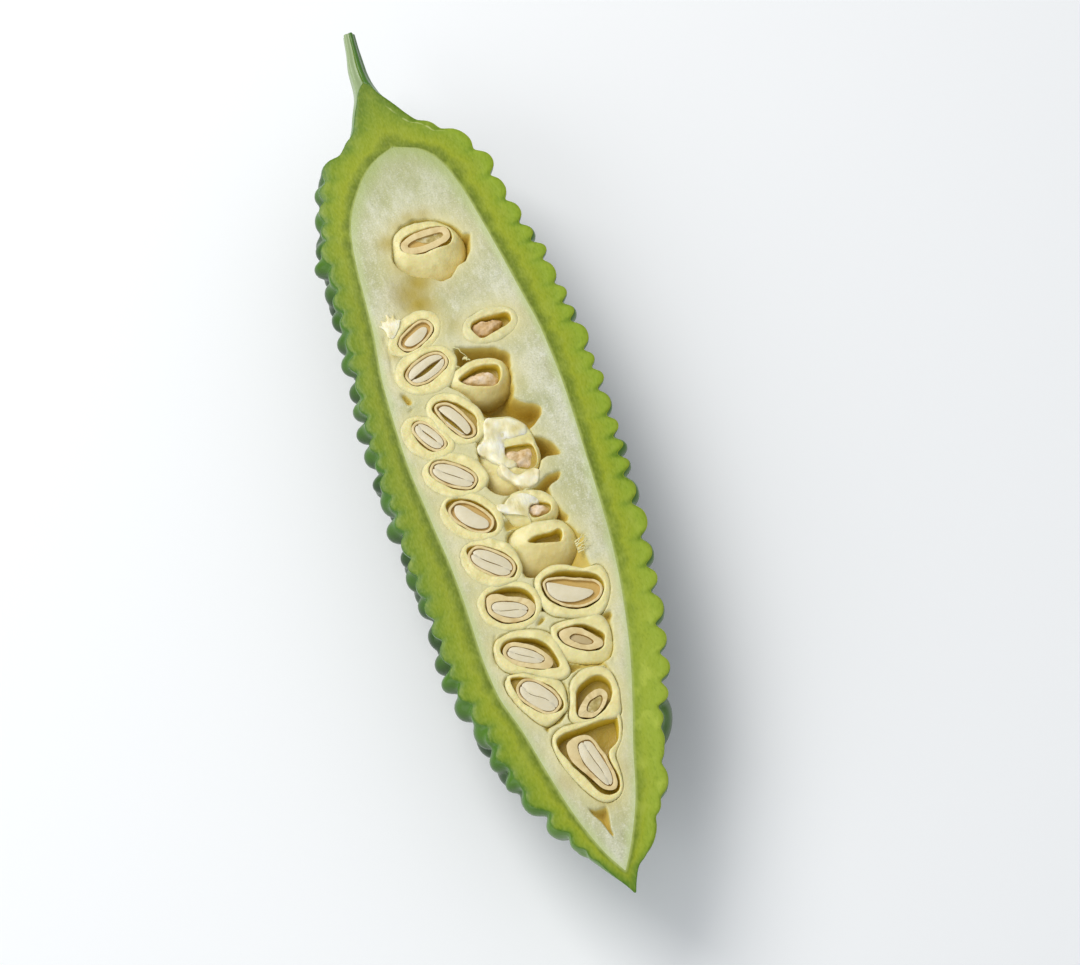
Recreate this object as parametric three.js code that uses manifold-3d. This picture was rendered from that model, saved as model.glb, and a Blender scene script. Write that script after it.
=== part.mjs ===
// Half of a bitter gourd, cut lengthwise through stalk and tip, lying on its back with the cut face up.
// Millimetres, +Z up, +Y towards the stalk. The origin is the middle of the footprint, on the table.
// While it is built, z = 0 is the cut and the last lines lift the whole half onto the table.
import * as THREE from "three";
import { mergeVertices } from "three/addons/utils/BufferGeometryUtils.js";
import Module from "manifold-3d";

const wasm = await Module();
wasm.setup();

// ---- Driving dimensions of the fruit
const tipY = -109.5; // the blossom end's point
const bodyLength = 201.5; // from the point to the neck, where the stalk starts
const bodyRadius = 26; // at the widest place, half way up the warts
const axisX = 0.6; // the fruit's own middle line, beside x = 0
const wallThickness = 7.2; // green flesh, from half way up the warts to the pith
const wallAtTip = 5.5; // solid green flesh below the pith, in the point
const wallAtNeck = 15.5; // solid green flesh above the pith, in the shoulder
const wartHeight = 2.6; // from the valleys to the tops
const wartsAlong = 29; // in each lengthwise ridge, from the point to the neck
const wartsAround = 21; // ridges in a full turn, an odd number: a valley at one cut edge, a ridge at the other
const saddle = 0.45; // how high a ridge stays between two of its warts, as a share of their height
const footPress = 0.9; // how much of the lowest warts is pressed flat where the half rests

// ---- Driving dimensions of the stalk
const stalkLength = 17.5;
const stalkTopRadius = 1.35;
const stalkDrop = 2.7; // the stalk bends under the cut by this much, so the knife misses it
const stalkSway = -1.7; // and it swings this far sideways
const stalkRidge = 0.12; // its five ridges stand this far out, as a share of its radius

// ---- Driving dimensions of what lies in the pith
const gap = 0.3; // between two pieces that touch
const leastPith = 0.8; // the thinnest pith left outside a seed's pulp
const pulpDepth = 8.8; // the pulp's half height around a seed
const pocketRoom = 0.35; // the free play of a seed in its pocket, all round
const pocketDepth = 7.3;
const coatThickness = 0.75;
const coatDepth = 6.6; // half of a seed's length, because the knife went across it
const kernelDepth = 5.2;
const wholeSeedTop = 0.7; // a seed that the knife missed lies this far under the cut
const wholeSeedDepth = 3.2;
const slitDepth = 1.6; // the split between a kernel's two halves

// ---- Fineness of the round shapes
const bodyRows = 2 * wartsAlong;
const bodySides = 2 * wartsAround;
const pithRows = 20;
const pithSides = 20;
const stalkSides = 10;
const pulpSides = 12;
const seedSides = 10;

// Each seed from the stalk down, in the plane of the cut. at, size and turn give the middle, the half
// length and half width, and the angle from +X in degrees. sink puts the middle of the pulp under the cut.
// lean is where the seed's pocket is roomier than the seed. A kernel may be smaller than its coat allows.
const cells = [
  { at: [2.2, 48.0], size: [8.4, 7.6], turn: -12, sink: 2.6, seed: { at: [1.5, 49.6], size: [5.8, 2.6],
    turn: 7 }, lean: [0, 0.2], kernel: { shift: [0.8, 0.3], size: [3.9, 1.2], turn: -2 } },
  { at: [-7.4, 27.0], size: [6.8, 4.3], turn: 33, seed: { at: [-7.2, 26.6], size: [4.6, 2.5], turn: 31 },
    lean: [0, 0], kernel: { shift: [0.4, -0.4], size: [3.3, 1.1], turn: 35 }, slit: 0 },
  { at: [9.2, 24.6], size: [6.2, 3.9], turn: 8, seed: { at: [8.6, 24.6], size: [3.8, 1.9], turn: 8,
    whole: true }, lean: [0.5, 0] },
  { at: [-7.2, 17.7], size: [7.0, 5.6], turn: 12, seed: { at: [-7.2, 18.0], size: [5.2, 3.0], turn: 23 },
    lean: [0, -0.2], kernel: { shift: [0, 0.3], size: [4.3, 2.0], turn: 21 }, slit: 0.7 },
  { at: [3.5, 12.0], size: [7.6, 6.2], turn: -8, sink: 2.8, seed: { at: [3.6, 12.7], size: [3.9, 1.9],
    turn: -8, whole: true }, lean: [0.1, 0.4] },
  { at: [-4.6, 4.3], size: [7.2, 4.9], turn: -60, seed: { at: [-4.9, 4.0], size: [5.2, 2.5], turn: -62 },
    lean: [0.5, 0.4], kernel: { shift: [0.2, 0.3], size: [3.9, 1.6], turn: -64 }, slit: 0.9 },
  { at: [-11.6, 1.3], size: [6.4, 4.3], turn: -56, seed: { at: [-11.2, 1.8], size: [4.5, 2.4], turn: -60 },
    lean: [0.2, -0.2], kernel: { shift: [0.2, 0.3], size: [3.1, 1.1], turn: -64 }, slit: 0.4 },
  { at: [3.9, -6.6], size: [7.6, 5.6], turn: -64, sink: 1.6, seed: { at: [6.0, -8.7], size: [3.5, 2.7],
    turn: -30, whole: true }, lean: [0, 0] },
  { at: [-8.6, -8.9], size: [7.0, 5.0], turn: -32, seed: { at: [-8.8, -8.8], size: [5.4, 2.8], turn: -39 },
    lean: [0.1, 0.1], kernel: { shift: [0.1, 0.1], size: [4.3, 1.9], turn: -39 }, slit: 0.35 },
  { at: [4.4, -20.9], size: [6.2, 4.0], turn: -14, sink: 1.6, seed: { at: [6.6, -21.3], size: [2.6, 1.6],
    turn: -20, whole: true }, lean: [0, 0] },
  { at: [-7.8, -19.5], size: [6.9, 5.0], turn: -44, seed: { at: [-7.9, -19.5], size: [5.2, 3.0],
    turn: -48 }, lean: [0, 0.2], kernel: { shift: [-0.4, 0.2], size: [4.0, 1.6], turn: -50 }, slit: 0 },
  { at: [5.3, -30.2], size: [7.6, 6.2], turn: -6, sink: 2.6, pocket: { at: [5.8, -28.8],
    size: [3.7, 1.2], turn: -3 } },
  { at: [-6.8, -31.0], size: [6.8, 5.0], turn: -44, seed: { at: [-6.8, -31.0], size: [5.4, 2.9],
    turn: -43 }, lean: [-0.1, 0.2], kernel: { shift: [0, 0.1], size: [4.2, 2.0], turn: -42 }, slit: 0.35 },
  { at: [7.9, -42.2], size: [8.3, 5.9], turn: -22, seed: { at: [7.4, -42.0], size: [5.8, 3.2], turn: -26 },
    lean: [0.4, 0.4], kernel: { shift: [-0.1, -0.1], size: [4.7, 2.0], turn: -25 }, slit: 0 },
  { at: [-6.0, -41.6], size: [6.4, 5.4], turn: -16, seed: { at: [-6.3, -42.2], size: [4.7, 3.0],
    turn: -18 }, lean: [0.2, 0.8], kernel: { shift: [0, 0], size: [3.6, 1.7], turn: -22 }, slit: 0.3 },
  { at: [6.5, -53.4], size: [6.6, 5.5], turn: -14, seed: { at: [6.1, -53.1], size: [4.3, 2.1], turn: -27 },
    lean: [0.4, 0.3], kernel: { shift: [0.3, -0.3], size: [2.3, 0.8], turn: -38 }, slit: 0 },
  { at: [-5.6, -53.5], size: [7.5, 5.2], turn: -32, seed: { at: [-6.0, -53.6], size: [5.4, 2.6],
    turn: -34 }, lean: [0.5, 0.3], kernel: { shift: [-0.1, 0.1], size: [4.1, 1.6], turn: -33 }, slit: 0.25 },
  { at: [-6.0, -63.0], size: [6.9, 5.2], turn: -50, seed: { at: [-6.1, -63.2], size: [5.1, 3.0],
    turn: -52 }, lean: [-0.2, 0.3], kernel: { shift: [0.1, 0.3], size: [4.0, 1.9], turn: -53 }, slit: 0.25 },
  { at: [5.0, -66.2], size: [6.2, 5.2], turn: 82, seed: { at: [4.3, -67.9], size: [3.7, 2.0], turn: 35 },
    lean: [0.3, 1.3], kernel: { shift: [0.2, 0.2], size: [1.9, 0.7], turn: 35 }, slit: 0 },
  { at: [0.2, -79.4], size: [9.6, 6.2], turn: -84, seed: { at: [-0.1, -80.8], size: [6.6, 2.7],
    turn: -78 }, lean: [0.3, 1.4], kernel: { shift: [0.3, 0.1], size: [5.3, 1.7], turn: -80 }, slit: 0.3 },
];

// Hollows that torn-out seeds and shrunken pith left beside the pulp, as ellipsoids.
const hollows = [
  { at: [-4.2, 37.6], size: [5.6, 5.2], turn: 20, depth: 2.6 },
  { at: [3.4, 47.0], size: [8.6, 8.2], turn: -30, depth: 7.5 },
  { at: [5.4, 18.4], size: [6.2, 3.0], turn: -12, depth: 8 },
  { at: [5.6, 4.2], size: [5.4, 4.6], turn: 0, depth: 9 },
  { at: [11.0, 2.0], size: [3.9, 2.4], turn: -20, depth: 6 },
  { at: [11.0, -8.6], size: [3.6, 2.4], turn: -32, depth: 6 },
  { at: [10.8, -15.6], size: [3.4, 1.5], turn: 22, depth: 6 },
  { at: [9.0, -19.4], size: [2.6, 4.4], turn: 12, depth: 7 },
  { at: [12.6, -30.8], size: [2.0, 4.2], turn: 0, depth: 6 },
  { at: [5.4, -34.6], size: [6.6, 3.4], turn: 0, depth: 8 },
  { at: [13.0, -49.9], size: [1.7, 1.5], turn: 0, depth: 3 },
  { at: [-1.3, -92.2], size: [3.6, 1.1], turn: -80, depth: 3 },
];

// ---- Outlines, as [share of the length from the blossom end, share of the radius]
const bodyOutline = [
  [0, 0], [0.025, 0.1], [0.07, 0.31], [0.12, 0.49], [0.2, 0.74], [0.3, 0.9], [0.42, 0.97], [0.54, 1],
  [0.66, 0.965], [0.76, 0.88], [0.85, 0.765], [0.893, 0.66], [0.93, 0.41], [0.965, 0.19], [1, 0.105],
];
const pithOutline = [
  [0, 0], [0.022, 0.14], [0.078, 0.35], [0.188, 0.63], [0.3, 0.86], [0.41, 0.93], [0.604, 1],
  [0.7, 0.965], [0.85, 0.8], [0.91, 0.7], [0.955, 0.53], [0.99, 0.22], [1, 0],
];
const neckY = tipY + bodyLength;
const pithTipY = tipY + wallAtTip;
const pithLength = bodyLength - wallAtTip - wallAtNeck;
const pithRadius = bodyRadius - wallThickness;
const drawnPithRadius = 18.8; // the seeds, pulp and hollows above are given for a pith of this radius
const drawnPithLength = 180.5; // and of this length
const neckRadius = bodyRadius * bodyOutline.at(-1)[1];

const rad = THREE.MathUtils.degToRad;
const smoothstep = THREE.MathUtils.smoothstep;

// A round body's outline as a smooth curve of [radius, y] points, from the tip up.
function outlineCurve(outline, startY, length, radius) {
  const corners = outline.map(([along, out]) => new THREE.Vector2(out * radius, startY + along * length));
  return new THREE.SplineCurve(corners);
}

// The points of such a curve at equal steps of y, so that each wart gets a row for its top.
function evenRows(curve, rows) {
  const fine = curve.getPoints(20 * rows);
  const [low, high] = [fine[0].y, fine.at(-1).y];
  return Array.from({ length: rows + 1 }, (_, row) => {
    const y = low + ((high - low) * row) / rows;
    return fine.reduce((best, point) => (Math.abs(point.y - y) < Math.abs(best.y - y) ? point : best));
  });
}

// Where the fruit's middle line runs: straight in the body, down and aside in the stalk.
function middleAt(y) {
  const bend = smoothstep(y, neckY - 12, neckY + 6);
  const back = smoothstep(y, neckY + 4, neckY + stalkLength + 4);
  return { x: axisX + stalkSway * (bend - back * 0.7), z: -stalkDrop * bend };
}

// How far the warts lift the skin, from -half to +half of their height. They stand in lengthwise ridges,
// in step along each ridge and out of step between neighbours, and die out towards the point and the neck.
function wartLift(y, turn) {
  const around = wartsAround * (turn - Math.PI / 2);
  const outOfStep = Math.PI * Math.round(around / (2 * Math.PI));
  const along = (2 * Math.PI * wartsAlong * (y - tipY)) / bodyLength;
  const ridge = 0.5 + 0.5 * Math.cos(around);
  const bead = saddle + (1 - saddle) * (0.5 + 0.5 * Math.cos(along + outOfStep));
  const fade = smoothstep(y, tipY, tipY + 25) * (1 - smoothstep(y, neckY - 22, neckY - 8));
  return wartHeight * fade * (ridge * bead - 0.5);
}

// Moves each vertex of a geometry: move(position) changes the vector it is given.
function reshape(geometry, move) {
  const position = geometry.getAttribute("position");
  const point = new THREE.Vector3();
  for (let i = 0; i < position.count; i += 1) {
    move(point.fromBufferAttribute(position, i));
    position.setXYZ(i, point.x, point.y, point.z);
  }
  return geometry;
}

// A closed three.js geometry as a solid for joining and cutting.
function solid(geometry) {
  geometry.deleteAttribute("normal");
  geometry.deleteAttribute("uv");
  const merged = mergeVertices(geometry, 1e-4);
  return new wasm.Manifold(
    new wasm.Mesh({
      numProp: 3,
      vertProperties: merged.getAttribute("position").array,
      triVerts: new Uint32Array(merged.index.array),
    }),
  );
}

// A solid as a mesh with its own name and material.
function piece(name, shape, material) {
  const made = shape.getMesh();
  const geometry = new THREE.BufferGeometry();
  geometry.setAttribute("position", new THREE.BufferAttribute(made.vertProperties, 3));
  geometry.setIndex(new THREE.BufferAttribute(made.triVerts, 1));
  geometry.computeVertexNormals();
  const mesh = new THREE.Mesh(geometry, material);
  mesh.name = name;
  return mesh;
}

// A box from its two corners.
function block(low, high) {
  const size = high.map((value, i) => value - low[i]);
  const middle = high.map((value, i) => (value + low[i]) / 2);
  return solid(new THREE.BoxGeometry(...size).translate(...middle));
}

const far = 2 * bodyLength; // past every piece
const aboveCut = block([-far, -far, 0], [far, far, far]);

// An ellipsoid with its poles up and down: half length along turn, half width across it, half height.
function egg(at, size, turn, halfHeight, middleZ, sides) {
  const ball = new THREE.SphereGeometry(1, sides, 2 * Math.round(sides / 4));
  ball.rotateX(Math.PI / 2);
  ball.scale(size[0], size[1], halfHeight);
  ball.rotateZ(rad(turn));
  return solid(ball.translate(at[0], at[1], middleZ));
}

// What lies in the pith follows its size: it is drawn out or in with it, along, across and down.
function followPith(shape) {
  const across = pithRadius / drawnPithRadius;
  const along = pithLength / drawnPithLength;
  const [x, y] = [axisX * (1 - across), pithTipY * (1 - along)];
  return shape.transform([across, 0, 0, 0, 0, along, 0, 0, 0, 0, across, 0, x, y, 0, 1]);
}

// The side of a straight cut that a piece loses: all that lies past point in direction.
function pastLine(point, direction) {
  const slab = new THREE.BoxGeometry(far, far, far).translate(far / 2, 0, 0);
  slab.rotateZ(Math.atan2(direction.y, direction.x));
  return solid(slab.translate(point.x, point.y, 0));
}

// How far an ellipse reaches from its middle in a direction.
function reach({ size, turn }, direction) {
  const angle = Math.atan2(direction.y, direction.x) - rad(turn);
  return 1 / Math.hypot(Math.cos(angle) / size[0], Math.sin(angle) / size[1]);
}

// The outside of the fruit: a lathe of its profile, with warts, bent along its middle line.
function fruitOutside() {
  const points = evenRows(outlineCurve(bodyOutline, tipY, bodyLength, bodyRadius), bodyRows);
  points.push(new THREE.Vector2(0, neckY));
  const lathe = new THREE.LatheGeometry(points, bodySides, Math.PI / 2);
  reshape(lathe, (point) => {
    const radius = Math.hypot(point.x, point.z);
    if (radius < neckRadius / 4) return;
    const lift = Math.max(wartLift(point.y, Math.atan2(point.x, point.z)), -radius / 2);
    point.x *= 1 + lift / radius;
    point.z *= 1 + lift / radius;
  });
  reshape(lathe, (point) => {
    const middle = middleAt(point.y);
    point.x += middle.x;
    point.z += middle.z;
  });
  return solid(lathe);
}

// The space inside the green flesh, taken in by inset all round.
function fruitInside(inset) {
  const start = pithTipY + 3 * inset;
  const length = pithLength - 6 * inset;
  const points = outlineCurve(pithOutline, start, length, pithRadius - inset).getSpacedPoints(pithRows);
  return solid(new THREE.LatheGeometry(points, pithSides).translate(axisX, 0, 0));
}

// The stalk: a ridged lathe along the same bent middle line, up to its cut end.
function stalkSolid() {
  const foot = neckY + gap;
  const points = [
    new THREE.Vector2(0, foot),
    new THREE.Vector2(neckRadius, foot),
    new THREE.Vector2(neckRadius * 0.86, foot + stalkLength * 0.2),
    new THREE.Vector2((neckRadius + stalkTopRadius) / 2, foot + stalkLength * 0.5),
    new THREE.Vector2(stalkTopRadius * 1.15, foot + stalkLength * 0.8),
    new THREE.Vector2(stalkTopRadius, foot + stalkLength * 0.97),
    new THREE.Vector2(stalkTopRadius * 0.8, foot + stalkLength),
    new THREE.Vector2(0, foot + stalkLength),
  ];
  const lathe = new THREE.LatheGeometry(points, stalkSides);
  reshape(lathe, (point) => {
    const ridge = 1 + stalkRidge * 0.5 * Math.cos((stalkSides / 2) * Math.atan2(point.x, point.z));
    const middle = middleAt(point.y);
    point.x = point.x * ridge + middle.x;
    point.z = point.z * ridge + middle.z;
  });
  return solid(lathe).subtract(aboveCut);
}

// The pocket that a seed lies in: roomier than the seed, and pushed over to the roomy side.
function pocketOf(cell) {
  if (cell.pocket) return cell.pocket;
  const { seed, lean } = cell;
  const room = pocketRoom + gap + Math.hypot(...lean);
  return {
    at: [seed.at[0] + lean[0], seed.at[1] + lean[1]],
    size: seed.size.map((half) => half + room),
    turn: seed.turn,
  };
}

// The pulp round one seed, before its pocket is cut: an ellipsoid, straight where a neighbour presses on it.
function pulpBlank(cell, room) {
  const sink = cell.sink ?? 0;
  const deep = pulpDepth - sink / 2 + room;
  const size = cell.size.map((half) => half + room);
  let blank = egg(cell.at, size, cell.turn, deep, -sink, pulpSides);
  for (const other of cells.filter((one) => one !== cell)) {
    const direction = new THREE.Vector2(other.at[0] - cell.at[0], other.at[1] - cell.at[1]);
    const distance = direction.length();
    const mine = reach(cell, direction);
    const theirs = reach(other, direction);
    if (mine + theirs > distance - 3 * gap) {
      const share = mine / (mine + theirs) - (gap / 2 - room) / distance;
      const point = direction.clone().multiplyScalar(share).add(new THREE.Vector2(...cell.at));
      blank = blank.subtract(pastLine(point, direction));
    }
  }
  return followPith(blank);
}

// The hollow of a pocket: half an ellipsoid, or a straight shaft over one round a whole seed.
function pocketHollow(cell) {
  const { at, size, turn } = pocketOf(cell);
  if (!cell.seed?.whole) return followPith(egg(at, size, turn, pocketDepth, 0, seedSides));
  const middleZ = -wholeSeedTop - wholeSeedDepth;
  const shaft = new THREE.CylinderGeometry(1, 1, 1, seedSides).rotateX(Math.PI / 2).translate(0, 0, 0.5);
  shaft.scale(size[0], size[1], wholeSeedTop + wholeSeedDepth);
  shaft.rotateZ(rad(turn));
  const bottom = egg(at, size, turn, wholeSeedDepth + pocketRoom + gap, middleZ, seedSides);
  return followPith(bottom.add(solid(shaft.translate(at[0], at[1], middleZ))));
}

function pulpSolid(cell, room) {
  return pulpBlank(cell, 0).intersect(room).subtract(pocketHollow(cell)).subtract(aboveCut);
}

// A seed's coat: a shell open at the cut, or the whole seed where the knife missed it.
function coatSolid({ seed }) {
  if (seed.whole) {
    const middleZ = -wholeSeedTop - wholeSeedDepth;
    return followPith(egg(seed.at, seed.size, seed.turn, wholeSeedDepth, middleZ, seedSides));
  }
  const outside = egg(seed.at, seed.size, seed.turn, coatDepth, 0, seedSides);
  const room = seed.size.map((half) => half - coatThickness);
  const inside = egg(seed.at, room, seed.turn, coatDepth - coatThickness, 0, seedSides);
  return followPith(outside.subtract(inside)).subtract(aboveCut);
}

// A kernel in its coat, with the slit between its two halves.
function kernelSolid({ seed, kernel, slit }) {
  const at = [seed.at[0] + kernel.shift[0], seed.at[1] + kernel.shift[1]];
  const inside = seed.size.map((half) => half - coatThickness - gap);
  const coatRoom = egg(seed.at, inside, seed.turn, coatDepth - coatThickness - gap, 0, seedSides);
  let meat = egg(at, kernel.size, kernel.turn, kernelDepth, 0, seedSides).intersect(coatRoom);
  if (slit) {
    const cut = new THREE.BoxGeometry(kernel.size[0] * 1.5, slit, 2 * slitDepth);
    cut.rotateZ(rad(kernel.turn));
    meat = meat.subtract(solid(cut.translate(at[0], at[1], 0)));
  }
  return followPith(meat).subtract(aboveCut);
}

// ---- Materials
const colours = {
  wall: { color: 0x7f9a2c, roughness: 0.45 },
  stalk: { color: 0x6d8a3a, roughness: 0.5 },
  pith: { color: 0xdcdcc0, roughness: 0.8 },
  pulp: { color: 0xe3d796, roughness: 0.5 },
  coat: { color: 0xc8a25e, roughness: 0.6 },
  kernel: { color: 0xe6dcc3, roughness: 0.5 },
};
const materials = Object.fromEntries(
  Object.entries(colours).map(([name, look]) => [name, new THREE.MeshStandardMaterial(look)]),
);

// ---- The half gourd
const gourd = new THREE.Group();

const lowest = -(bodyRadius + wartHeight / 2 - footPress);
const underTable = block([-far, -far, -far], [far, far, lowest]);
const wall = fruitOutside().subtract(fruitInside(0)).subtract(aboveCut).subtract(underTable);
gourd.add(piece("green_wall", wall, materials.wall));
gourd.add(piece("stalk", stalkSolid(), materials.stalk));

let pith = fruitInside(gap).subtract(aboveCut);
for (const cell of cells) {
  const pulpAndPocket = pulpBlank(cell, gap).add(pocketHollow(cell));
  pith = pith.subtract(pulpAndPocket.intersect(fruitInside(leastPith)));
}
for (const { at, size, turn, depth } of hollows) {
  const hollow = followPith(egg(at, size, turn, depth, 0, pulpSides));
  pith = pith.subtract(hollow.intersect(fruitInside(leastPith)));
}
const biggest = pith.decompose().sort((a, b) => b.volume() - a.volume())[0];
gourd.add(piece("white_pith", biggest, materials.pith));

const pulpRoom = fruitInside(leastPith + gap);
cells.forEach((cell, index) => {
  const number = String(index + 1).padStart(2, "0");
  gourd.add(piece(`pulp_${number}`, pulpSolid(cell, pulpRoom), materials.pulp));
  if (cell.seed) gourd.add(piece(`seed_coat_${number}`, coatSolid(cell), materials.coat));
  if (cell.kernel) gourd.add(piece(`kernel_${number}`, kernelSolid(cell), materials.kernel));
});

// Onto the table, with the footprint's middle at the origin.
const bounds = new THREE.Box3().setFromObject(gourd);
const middle = bounds.getCenter(new THREE.Vector3());
gourd.position.set(-middle.x, -middle.y, -bounds.min.z);

export default gourd;
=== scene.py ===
# %% [markdown]
# # A halved bitter gourd
#
# The fruit was cut lengthwise with one stroke and the half lies on its back. From outside in it is a
# dark, glossy, warty skin, a band of green flesh, a white spongy pith, and in the pith twenty soft
# pulp bags, each with a seed or the bed of one. The frame holds a plain solid for each of them. This
# script keeps their places and sizes and makes the real surfaces around them.

# %% The frame
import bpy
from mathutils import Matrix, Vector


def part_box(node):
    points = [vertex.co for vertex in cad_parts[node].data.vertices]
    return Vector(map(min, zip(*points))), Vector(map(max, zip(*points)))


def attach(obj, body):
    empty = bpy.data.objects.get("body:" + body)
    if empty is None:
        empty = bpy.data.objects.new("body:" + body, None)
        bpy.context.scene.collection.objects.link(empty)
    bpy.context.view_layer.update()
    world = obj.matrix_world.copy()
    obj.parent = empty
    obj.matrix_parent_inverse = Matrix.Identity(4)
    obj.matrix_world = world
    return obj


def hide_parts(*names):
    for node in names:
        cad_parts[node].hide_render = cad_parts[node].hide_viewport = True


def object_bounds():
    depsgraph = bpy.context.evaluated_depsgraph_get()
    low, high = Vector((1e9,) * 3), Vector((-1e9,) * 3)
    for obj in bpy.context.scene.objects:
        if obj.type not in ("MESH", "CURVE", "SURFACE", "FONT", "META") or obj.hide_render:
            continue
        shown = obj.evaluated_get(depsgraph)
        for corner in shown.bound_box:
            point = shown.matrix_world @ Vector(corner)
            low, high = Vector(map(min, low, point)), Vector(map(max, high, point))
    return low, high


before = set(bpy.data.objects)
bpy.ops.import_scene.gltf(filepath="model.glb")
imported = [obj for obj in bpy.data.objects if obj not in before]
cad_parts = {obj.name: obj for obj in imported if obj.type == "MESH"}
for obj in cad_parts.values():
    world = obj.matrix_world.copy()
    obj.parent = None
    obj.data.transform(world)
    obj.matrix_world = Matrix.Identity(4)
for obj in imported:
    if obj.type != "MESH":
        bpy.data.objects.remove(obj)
cad_box = [list(corner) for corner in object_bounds()]

import math
import random

import bpy
import numpy as np
from mathutils import Vector, noise

noise.seed_set(5)  # without it the lumps would differ from run to run
print("nodes in the frame:", len(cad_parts))

# %% [markdown]
# ## Sizes
#
# Shapes are thought out in millimetres and made in metres. The cut is the top of the frame's box, the
# blossom end is its lowest y, and the neck, where the stalk begins, is the highest y of the wall.

# %% Millimetres and landmarks
MM = 0.001
CUT = cad_box[1][2] / MM
TIP = cad_box[0][1] / MM
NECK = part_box("green_wall")[1][1] / MM
STALK_END = cad_box[1][1] / MM
print(f"cut at z {CUT:.1f}, body from y {TIP:.1f} to {NECK:.1f}, stalk to {STALK_END:.1f}")

# %% [markdown]
# ## Camera, light and floor
#
# The camera stands high over the half, a little to its left, and looks down on the cut through a long
# lens, so that lines which run away from it hardly draw together. A big soft light from behind and a
# weaker one from the front left give a clear gloss on the warts and a soft shadow. The floor is plain.

# %% Camera
def look_from(target, azimuth, elevation, distance):
    """Where a camera stands, and the direction back to it, for angles in degrees round a target."""
    turn, rise = math.radians(azimuth), math.radians(elevation)
    back = Vector((math.sin(turn) * math.cos(rise), -math.cos(turn) * math.cos(rise), math.sin(rise)))
    return Vector(target) + distance * back, back


camera_data = bpy.data.cameras.new("camera")
camera_data.lens = 100
camera_data.clip_end = 10
camera = bpy.data.objects.new("camera", camera_data)
target = (7.67 * MM, -16.03 * MM, CUT * MM)
camera.location, back = look_from(target, azimuth=-16.81, elevation=63, distance=641.95 * MM)
camera.rotation_euler = back.to_track_quat("Z", "Y").to_euler()
bpy.context.collection.objects.link(camera)
bpy.context.scene.camera = camera
bpy.context.scene.view_settings.view_transform = "Standard"


# %% Lights and floor
def soft_light(name, place, aim, size, power, colour):
    """A square area light that faces a point."""
    data = bpy.data.lights.new(name, "AREA")
    data.size = size
    data.energy = power
    data.color = colour
    light = bpy.data.objects.new(name, data)
    light.location = place
    light.rotation_euler = (Vector(place) - Vector(aim)).to_track_quat("Z", "Y").to_euler()
    bpy.context.collection.objects.link(light)


soft_light("back_light", (-0.35, 0.5, 0.75), (0, 0, 0.02), 0.6, 6, (1, 0.99, 0.95))
soft_light("front_light", (-0.8, -0.4, 0.5), (0, 0, 0.02), 0.8, 3, (0.95, 0.98, 1))
world = bpy.data.worlds.new("pale_room")
world.use_nodes = True
world.node_tree.nodes["Background"].inputs["Color"].default_value = (0.93, 0.96, 1, 1)
world.node_tree.nodes["Background"].inputs["Strength"].default_value = 0.5
bpy.context.scene.world = world

bpy.ops.object.select_all(action="DESELECT")
bpy.ops.mesh.primitive_plane_add(size=6)
floor = bpy.context.object
floor.name = "floor"

# %% [markdown]
# ## Writing materials as sums
#
# A material is a graph of nodes. A value that comes out of a node is wrapped in a small class whose
# plus, minus and times add the Math nodes, so that a finish reads like a formula. Every other kind of
# node comes from one method, which sets the node's own settings first and then its sockets.


# %% A wrapped value and a material under construction
class Value:
    """A number or colour that leaves a node."""

    def __init__(self, look, socket):
        self.look = look
        self.socket = socket

    def __add__(self, other):
        return self.look.math("ADD", self, other)

    def __sub__(self, other):
        return self.look.math("SUBTRACT", self, other)

    def __rsub__(self, other):
        return self.look.math("SUBTRACT", other, self)

    def __mul__(self, other):
        return self.look.math("MULTIPLY", self, other)

    def __truediv__(self, other):
        return self.look.math("DIVIDE", self, other)

    __radd__ = __add__
    __rmul__ = __mul__


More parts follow.
